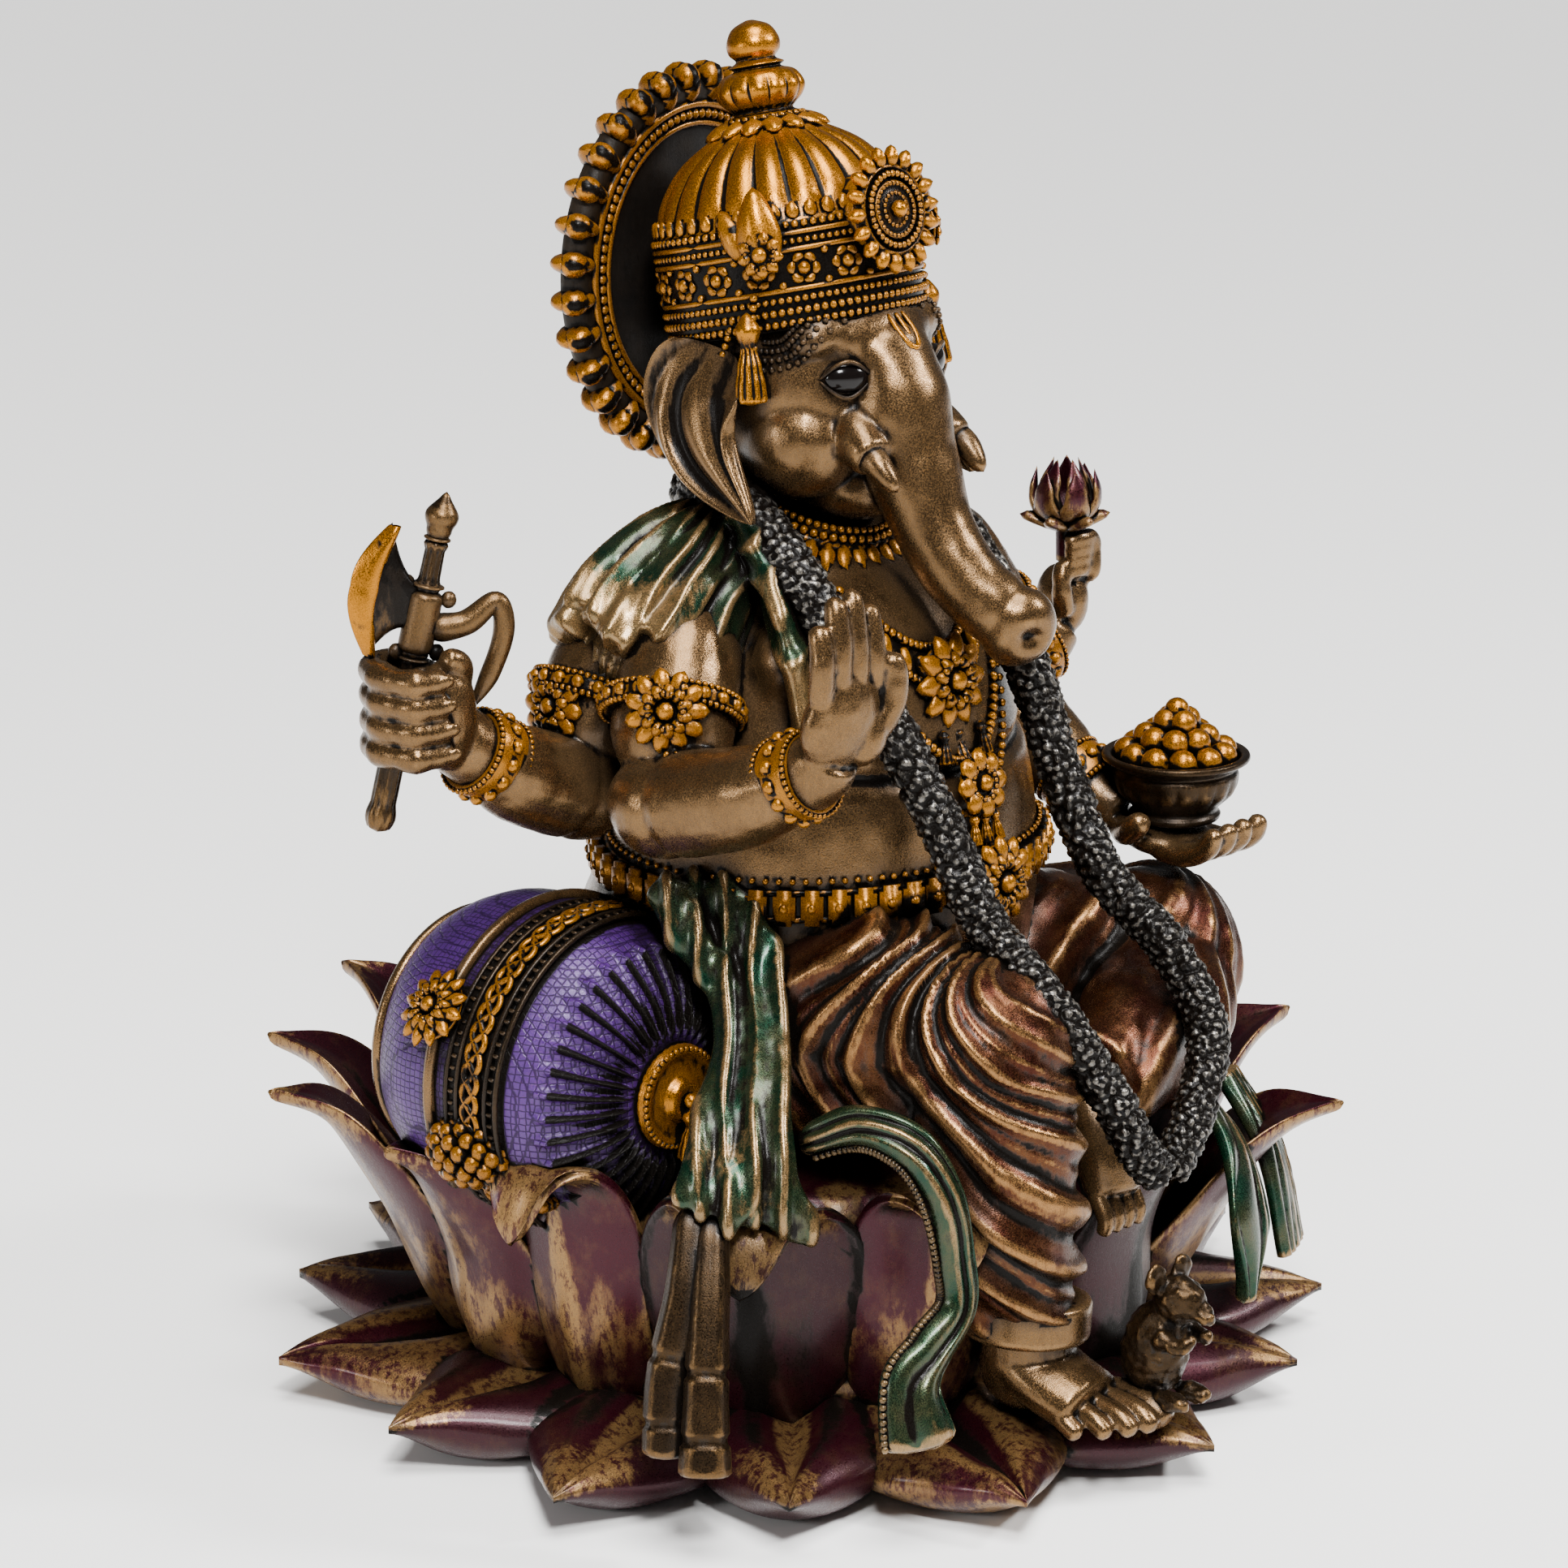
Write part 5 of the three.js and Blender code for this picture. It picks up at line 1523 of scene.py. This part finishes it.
tube(bm, [(-60, -35, 49), (-64.6, -38, 38.2), (-69, -38.5, 26), (-71.4, -40, 14.5)], [2.6, 3.0, 3.1, 3.2],
     sides=32, steps=90,
     flat=0.7, up=(0.75, 0.65, 0), skin=tail_rings, tail=0.04)
tube(bm, [(-59, -38, 48), (-64, -42, 36), (-67.4, -44.6, 24.9), (-69.8, -46.6, 13)], [2.4, 2.9, 3.2, 3.8],
     sides=32, steps=90,
     flat=0.7, up=(0.75, 0.65, 0), skin=tail_rings, tail=0.02)
piece("drape_tails", bm, "old_bronze", reach=10, depth=0.7)
bm = bmesh.new()
SASH = [(-45.4, -42.3, 56), (-41.3, -49.9, 59.6), (-38.2, -57.3, 57.5), (-36.5, -62, 50.7),
        (-35.5, -63.8, 41), (-36.2, -64.8, 34.5),
        (-41, -64.2, 29.5), (-45.4, -64.4, 24.5), (-46.4, -67.2, 16)]
SASH_WIDTHS = [2.4, 3.2, 3.6, 3.5, 3.2, 3.1, 3.6, 4.6, 5.8]
ribbon(bm, SASH, SASH_WIDTHS, 1.5, (-0.55, -0.8, 0.25), pleats=2.2, depth=1.3, curl=-1.0, steps=130)
sash_line = path(SASH)
for i in range(80):
    share = 0.02 + 0.96 * i / 79
    spot = sash_line(share)
    along = (sash_line(share + 1e-3) - sash_line(share - 1e-3)).normalized()
    side = along.cross(Vector((-0.55, -0.8, 0.25))).normalized()
    bead(bm, spot + side * between(SASH_WIDTHS, share) * 0.93 + Vector((-0.5, -0.75, 0.2)) * 0.6, 0.6)
piece("front_sash_ribbon", bm, "green", ["front_sash"], reach=12, depth=1.0)
bm = bmesh.new()
ribbon(bm, [(33, -50, 48), (30, -62, 42), (25, -70, 33), (22, -72, 20)], [4, 6.5, 6.5, 1.0], 1.4,
       (0.3, -1, 0.15), pleats=3, depth=0.9)
ribbon(bm, [(46, -48, 46), (48, -56, 34), (49, -60, 18)], [5, 6.5, 7], 1.4, (0.5, -0.9, 0.1), pleats=7,
       depth=0.9)
piece("left_sash_ribbon", bm, "green", ["left_sash"], reach=12, depth=0.9)

# %% [markdown]
# The shawl lies over the right shoulder. Its folds fan out from the neck, so it is built from
# tapering rolls of clay laid side by side and fused, which leaves a natural valley between them.

# %% Shawl
bm = bmesh.new()
SHAWL_OUT = Vector((-0.69, 0, 0.72))
ball(bm, (-24, 3, 126.5), (10.5, 13, 9.5), sides=32)
ball(bm, (-31.5, 3, 118.5), (8.2, 12.6, 7.2), sides=24)


def shawl_path(angle, share, lift=0.0):
    """A point on the shoulder: angle round the arm, share from the neck to the hem."""
    middle = Vector((-13, 2.5, 136.5)).lerp(Vector((-33.5, 3, 116.5)), share)
    far = between([4.5, 9.0, 11.6, 12.4, 11.8], share) + lift
    return middle + (SHAWL_OUT * math.cos(angle) + Vector((0, 1.14, 0)) * math.sin(angle)) * far


for i in range(11):
    angle = math.radians(-112 + 22 * i + 6 * math.sin(i * 2.3))
    hem = 1.0 + 0.08 * math.sin(i * 1.9)
    points = [shawl_path(angle + 0.12 * math.sin(3 * s + i), s * hem, -1.2)
              for s in (0, 0.2, 0.4, 0.6, 0.8, 1.0)]
    tube(bm, points, [1.6, 2.3, 2.8, 3.0, 3.2, 3.5], sides=18, steps=40, tip=0.05, up=(0.1, 1, 0.1),
         flat=0.9)
tube(bm, [(-10, 10, 139.5), (-17, -4, 139), (-22, -17, 127), (-24.5, -24, 112), (-24, -27, 98)],
     [4.5, 5.6, 5.2, 4.2, 2.4], sides=24, steps=50,
     flat=0.5, up=(0.6, -0.8, 0.3))
bm = fused(bm, 0.5, 3)


def shawl_folds(p):
    off = p - Vector((-24, 3, 127))
    angle = math.atan2(off.y / 1.14, off.dot(SHAWL_OUT))
    return 0.7 * (ridge(angle * 11 + 1.6 * wobble(p, 11, 9)) - 0.35) + 0.1 * wobble(p, 3)


press(bm, shawl_folds)


def shawl_bare(p, n):
    return (127 - p.z) / 9 + (-25 - p.x) / 12 + 0.9 * wobble(p, 8)


piece("shawl_cloth", bm, "green", ["shawl"], reach=12, depth=0.9, bare=shawl_bare)

# %% [markdown]
# ## Garland
# A thick rope of small flowers, cast so finely that it looks like tangled cord. Noise folded back
# on itself presses worm-like ridges into a plain tube.

# %% Garland
GARLAND_RIGHT = [(0.5, -72, 46.5), (-4, -71.5, 52), (-8, -69, 61), (-14, -62, 75), (-13, -49, 84),
                 (-14, -41, 98), (-17, -31, 115), (-20, -19, 131),
                 (-17, -4, 140), (-11, 11, 139)]
GARLAND_LEFT = [(11, 11, 139), (17, -4, 140), (19, -16, 131), (17, -30, 116), (17, -38, 99), (18, -46, 84),
                (21, -56, 74),
                (20, -65, 63), (11, -70, 53), (2.5, -72, 46)]
bm = bmesh.new()
tube(bm, GARLAND_RIGHT + [(0, 16, 136)] + GARLAND_LEFT, [2.9, 3.0, 3.2, 3.6, 4.0, 3.6, 3.2, 3.0, 2.9],
     sides=56, steps=900, up=(0.05, 0.1, 1), tip=0.008)


def florets(p):
    near = noise.voronoi(p / 1.25)[0]
    return 0.55 - 1.5 * near[0] ** 2 + 0.25 * wobble(p, 0.7)


press(bm, florets)
piece("garland_rope", bm, "silver", ["garland"], reach=4, depth=0.45)

# %% [markdown]
# ## Jewellery
# Beads are laid on the skin by casting a ray at the body, so each one touches it.

# %% Collar and necklaces
bm = bmesh.new()
COLLAR_FOOT = Vector((0, -3, 137))
COLLAR_AXIS = Vector((0, -0.42, 1)).normalized()
collar_spin = COLLAR_AXIS.to_track_quat("Z", "Y").to_matrix()


def on_collar(radius, height, angle):
    return COLLAR_FOOT + collar_spin @ Vector((radius * math.cos(angle), radius * math.sin(angle), height))


for i in range(34):
    angle = i * TAU / 34
    leaf(bm, on_collar(12.4, 1.4, angle), on_collar(17.0, -2.2, angle),
         on_collar(1, 1.4, angle) - COLLAR_FOOT, 1.5, 0.7, ridge=1.0)
for radius, height, size, count in ((12.6, 2.2, 0.75, 52), (12.0, 3.4, 0.6, 60)):
    for i in range(count):
        bead(bm, on_collar(radius, height, i * TAU / count), size)
tube(bm, [on_collar(12.2, 0.6, i * TAU / 24) for i in range(25)], [1.3, 1.3], sides=12, steps=96,
     up=COLLAR_AXIS, tip=0.001)


def chain(half, top, low, size, sag=2.2):
    spots = []
    for i in range(25):
        share = i / 12 - 1
        x = half * soften(share, 0.9)
        z = low + (top - low) * abs(share) ** sag
        spots.append(on_body(x, z, size * 0.6))
    beads(bm, path(spots), size)


chain(13.5, 131, 119.5, 0.75)
chain(15.0, 129, 114, 0.7)
chain(15.5, 124, 103, 0.75, 2.0)
chain(14.5, 116, 95, 0.65, 2.0)
for i in range(13):
    share = i / 6 - 1
    x = 14 * share
    spot = on_body(x, 118 + 11.5 * abs(share) ** 2.2, 0.6)
    leaf(bm, spot, on_body(x * 1.05, spot.z - 4.2, 0.6), (0, -1, 0.2), 1.1, 0.6, ridge=1.0)
for x, z in ((-4, 108), (4, 108), (-2.5, 94), (2.5, 94)):
    tassel(bm, on_body(x, z, 0.8), on_body(x * 1.1, z - 5, 0.8), 1.0, 8)
piece("necklaces", bm, "gold", ["collar"], reach=4, depth=0.45)

# %% [markdown]
# Each flower is leaves round a ball, set on the chest and belly: two rings on the chest and belly flowers,
# one on the breast flower.

# %% Rosettes on the body
bm = bmesh.new()
rosette(bm, at("chest_rosette") + Vector((0, -0.6, 0)), (0, -1, 0.15), 7.6, 10, boss=0.3,
        rows=((1, 0), (0.62, 0.5)))
tassel(bm, at("chest_rosette") + Vector((0, -1.5, -7)), at("chest_rosette") + Vector((0, -3.5, -12)), 1.2,
       8)
piece("chest_flower", bm, "gold", ["chest_rosette"], reach=5, depth=0.5)
bm = bmesh.new()
rosette(bm, at("breast_rosette") + Vector((0, -0.6, 0)), (0, -1, 0.25), 5.4, 8, boss=0.34, blunt=3.0)
for x in (-2.2, 0, 2.2):
    tassel(bm, at("breast_rosette") + Vector((x, -1.0, -4.2)),
           at("breast_rosette") + Vector((x * 1.2, -2.0, -9)), 0.9, 8)
piece("breast_flower", bm, "gold", ["breast_rosette"], reach=5, depth=0.5)
bm = bmesh.new()
rosette(bm, at("belly_rosette") + Vector((0, -0.8, 0)), (0, -1, 0.05), 7.2, 12, boss=0.3, rows=TWO_ROWS,
        blunt=2.6)
piece("belly_flower", bm, "gold", ["belly_rosette"], reach=5, depth=0.5)

# %% [markdown]
# Bevelled studs stand side by side round the waist, between two wires and under a row of beads.

# %% Belt
bm = bmesh.new()
BELT_Z = at("belt").z


def on_waist(angle, z, lift=0.0):
    way = Vector((math.sin(angle), -math.cos(angle), 0))
    hit = body_tree.ray_cast(Vector((0, -5, z)) + way * 90, -way)
    return hit[0] + way * lift


for i in range(54):
    angle = (i + 0.5) * TAU / 54
    way = Vector((math.sin(angle), -math.cos(angle), 0))
    spot = on_waist(angle, BELT_Z, 1.2)
    stud = bmesh.new()
    bmesh.ops.create_cube(stud, size=2)
    bmesh.ops.bevel(stud, geom=stud.edges[:], offset=0.35, segments=2, affect="EDGES")
    turn = Matrix.LocRotScale(spot, way.to_track_quat("Z", "Y"), (1.65, 2.7, 1.1))
    bmesh.ops.transform(stud, verts=stud.verts, matrix=turn)
    lay(bm, stud)
    bead(bm, spot + way * 0.9, 0.8)
    for step in (-0.25, 0.25):
        bead(bm, on_waist(angle + step * TAU / 54, BELT_Z + 3.6, 0.5), 0.5)
for lift, wire in ((-2.2, 0.5), (1.8, 0.5)):
    tube(bm, [on_waist(i * TAU / 40, BELT_Z + lift, 0.2) for i in range(41)], [wire, wire], sides=10,
         steps=160, tip=0.001)
piece("belt_links", bm, "gold", ["belt"], reach=4, depth=0.5)

# %% [markdown]
# A bracelet is a turned band with a bead on each edge and studs between. Two armlets also carry
# a flower.

# %% Armlets and bracelets
def ring_round(bm, centre, axis, radius, width, studs=14):
    axis = Vector(axis).normalized()
    spin = axis.to_track_quat("Z", "Y").to_matrix()

    def spot(angle, height, out=0.0):
        return Vector(centre) + spin @ Vector(((radius + out) * math.cos(angle),
                                               (radius + out) * math.sin(angle), height))

    band = through([(radius - 1.4, -width / 2), (radius + 0.3, -width / 2), (radius + 0.5, 0),
                    (radius + 0.3, width / 2), (radius - 1.4, width / 2)])
    turned(bm, centre, axis, band, None, 12, 48)
    for height in (-width / 2, width / 2):
        for i in range(studs * 3):
            bead(bm, spot(i * TAU / (studs * 3), height, 0.4), TAU * radius / (studs * 3) * 0.5)
    for i in range(studs):
        angle = i * TAU / studs
        ball(bm, spot(angle, 0, 0.4), (1.1, 1.1, 1.1), sides=8)


for name, centre, axis, radius, width, studs in (
        ("front_right_bangle", (-40.2, -37.0, 109.2), (0.06, -0.9, 0.38), 5.9, 6.0, 14),
        ("rear_right_bangle", (-57.5, 9.2, 107), (-0.9, 0.12, 0.5), 6.0, 6.0, 14),
        ("front_left_bangle", (43.9, -19.5, 88), (0.08, -0.85, -0.52), 5.8, 5.5, 14),
        ("rear_left_bangle", (57.5, 2.9, 102.4), (0.93, -0.1, 0.35), 5.7, 5, 14)):
    bm = bmesh.new()
    ring_round(bm, centre, axis, radius, width, studs)
    stands = {"front_right_bangle": ["front_right_bracelet"], "rear_right_bangle": ["rear_right_bracelet"],
              "front_left_bangle": ["front_left_bracelet"]}.get(name, [])
    piece(name, bm, "gold", stands, reach=4, depth=0.5)
bm = bmesh.new()
rosette(bm, at("front_armlet") + Vector((-0.6, -0.6, 0)), (-0.75, -0.62, 0.2), 6.4, 11, boss=0.3,
        rows=TWO_ROWS, blunt=3.0)
ring_round(bm, (-36.6, -8.4, 113.4), (0.45, 0.3, 0.84), 10.0, 2.6, 20)
for i in range(3):
    beads(bm, path([(-45 + i, -15.5 - i, 109.5), (-47.2 + i, -17 - i, 106.0),
                    (-46.6 + i * 1.6, -19.4 - i, 103.5)]), 0.55)
piece("front_arm_flower", bm, "gold", ["front_armlet"], reach=5, depth=0.5)
bm = bmesh.new()
rosette(bm, at("rear_armlet"), (-1, 0, 0.2), 6.0, 10, boss=0.3, rows=TWO_ROWS, blunt=3.0)
ring_round(bm, (-35, 8.6, 111.5), (0.5, 0.05, 0.86), 9.8, 2.6, 20)
piece("rear_arm_flower", bm, "gold", ["rear_armlet"], reach=5, depth=0.5)
bm = bmesh.new()
ring_round(bm, (36.6, 7.2, 112.6), (-0.5, 0.1, 0.86), 9.4, 3, 20)
ring_round(bm, (36.4, -2.8, 113.6), (-0.42, 0.05, 0.9), 9.8, 3, 20)
piece("left_armlets", bm, "gold", reach=4, depth=0.5)
bm = bmesh.new()
turned(bm, (-14.2, -59.5, 25.5), (0.08, 0.02, 1),
       through([(6.5, -3), (9.2, -2.8), (9.5, 0), (9.3, 2.8), (6.5, 3)]), None, 16, 72)
piece("ankle_cuff", bm, "bronze", ["anklet"], reach=8, depth=0.6)

# %% [markdown]
# ## The mouse
# A small mouse stands up on a petal at the figure's foot, its fur stippled rough.

# %% Mouse
bm = bmesh.new()
MOUSE = at("mouse", 0.5, 0.5, 0)
ball(bm, MOUSE + Vector((0, 1.5, 8.5)), (5, 5.2, 8), (12, 0, 0), sides=20)
ball(bm, MOUSE + Vector((0.4, -2.5, 17)), (3.5, 4.2, 3.6), sides=16)
ball(bm, MOUSE + Vector((0.8, -6, 15.8)), (1.6, 3.0, 1.6), (20, 0, 0), sides=12)
for side in (-1, 1):
    ball(bm, MOUSE + Vector((side * 3.0, -0.6, 20.6)), (2.2, 0.9, 2.4), sides=14)
    tube(bm, [MOUSE + Vector((side * 3.5, -1, 12)), MOUSE + Vector((side * 3, -5, 11)),
              MOUSE + Vector((side * 1.2, -7, 12.6))], [1.5, 1.2, 0.9], sides=10, steps=12)
    ball(bm, MOUSE + Vector((side * 2.6, -3.6, 2)), (1.8, 3.4, 1.5), sides=12)
bm = fused(bm, 0.4, 3)
press(bm, lambda p: 0.35 * wobble(p, 1.6) + 0.15 * wobble(p, 0.9, 3))
piece("mouse_casting", bm, "old_bronze", ["mouse"], reach=6, depth=0.5)

# %% [markdown]
# Wax also stays wherever two pieces meet, and shade falls there. From each point four short rays leave the
# skin;
# the more of them that are stopped by something within two millimetres, the darker it is painted, as wax
# and painted contact shade. Longer rays find the broad hollows between limbs and petals, and those are
# darkened as painted shade.

# %% Wax and painted shade between pieces
NEAR_REACH = 2.0 * MM
FAR_REACH = 12.0 * MM
together = bmesh.new()
for made in made_pieces:
    together.from_mesh(made.data)
everything = BVHTree.FromBMesh(together)
together.free()
for made in made_pieces:
    mesh = made.data
    count = len(mesh.vertices)
    co = np.empty(count * 3)
    mesh.vertices.foreach_get("co", co)
    normal = np.empty(count * 3)
    mesh.vertex_normals.foreach_get("vector", normal)
    co, normal = co.reshape(-1, 3), normal.reshape(-1, 3)
    aside = np.cross(normal, (0.31, 0.53, 0.79))
    aside /= np.maximum(1e-9, np.linalg.norm(aside, axis=1))[:, None]
    over = np.cross(normal, aside)
    start = (co + normal * 0.06 * MM).tolist()
    near, far = np.zeros(count), np.zeros(count)
    for first, second in ((1, 0), (-0.5, 0.87), (-0.5, -0.87), (0, 0)):
        way = 0.6 * normal + 0.8 * (first * aside + second * over)
        way = (way / np.linalg.norm(way, axis=1)[:, None]).tolist()
        for i in range(count):
            gone = everything.ray_cast(start[i], way[i], FAR_REACH)[3]
            if gone is not None:
                near[i] += gone < NEAR_REACH
                far[i] += 1 - 0.5 * gone / FAR_REACH
    # This becomes the painted shade: the share of long rays stopped nearby, smoothed over the skin.
    far = evened(mesh, far / 4, 10)
    kept = np.empty(count)
    mesh.attributes["wax_and_contact_shade"].data.foreach_get("value", kept)
    # Wax, plus painted contact shade where short rays are stopped close by.
    kept = np.maximum(kept, 0.5 + 0.5 * np.clip((near - 1.0) / 2.2, 0, 1))
    mesh.attributes["wax_and_contact_shade"].data.foreach_set("value", kept)
    mesh.attributes.new("painted_shade", "FLOAT", "POINT").data.foreach_set("value", far)
print("wax settled on", len(made_pieces), "pieces")

# %% [markdown]
# ## Floor
# A wide pale sheet, which isn't part of the object.

# %% Floor
bm = bmesh.new()
bmesh.ops.create_grid(bm, x_segments=1, y_segments=1, size=3)
floor_mesh = bpy.data.meshes.new("floor")
bm.to_mesh(floor_mesh)
bm.free()
floor = bpy.data.objects.new("floor", floor_mesh)
bpy.context.scene.collection.objects.link(floor)
paper = bpy.data.materials.new("matt_white_paper")
paper.use_nodes = True
paper.node_tree.nodes["Principled BSDF"].inputs["Base Color"].default_value = linear("F4F3F1")
paper.node_tree.nodes["Principled BSDF"].inputs["Roughness"].default_value = 0.9
floor_mesh.materials.append(paper)
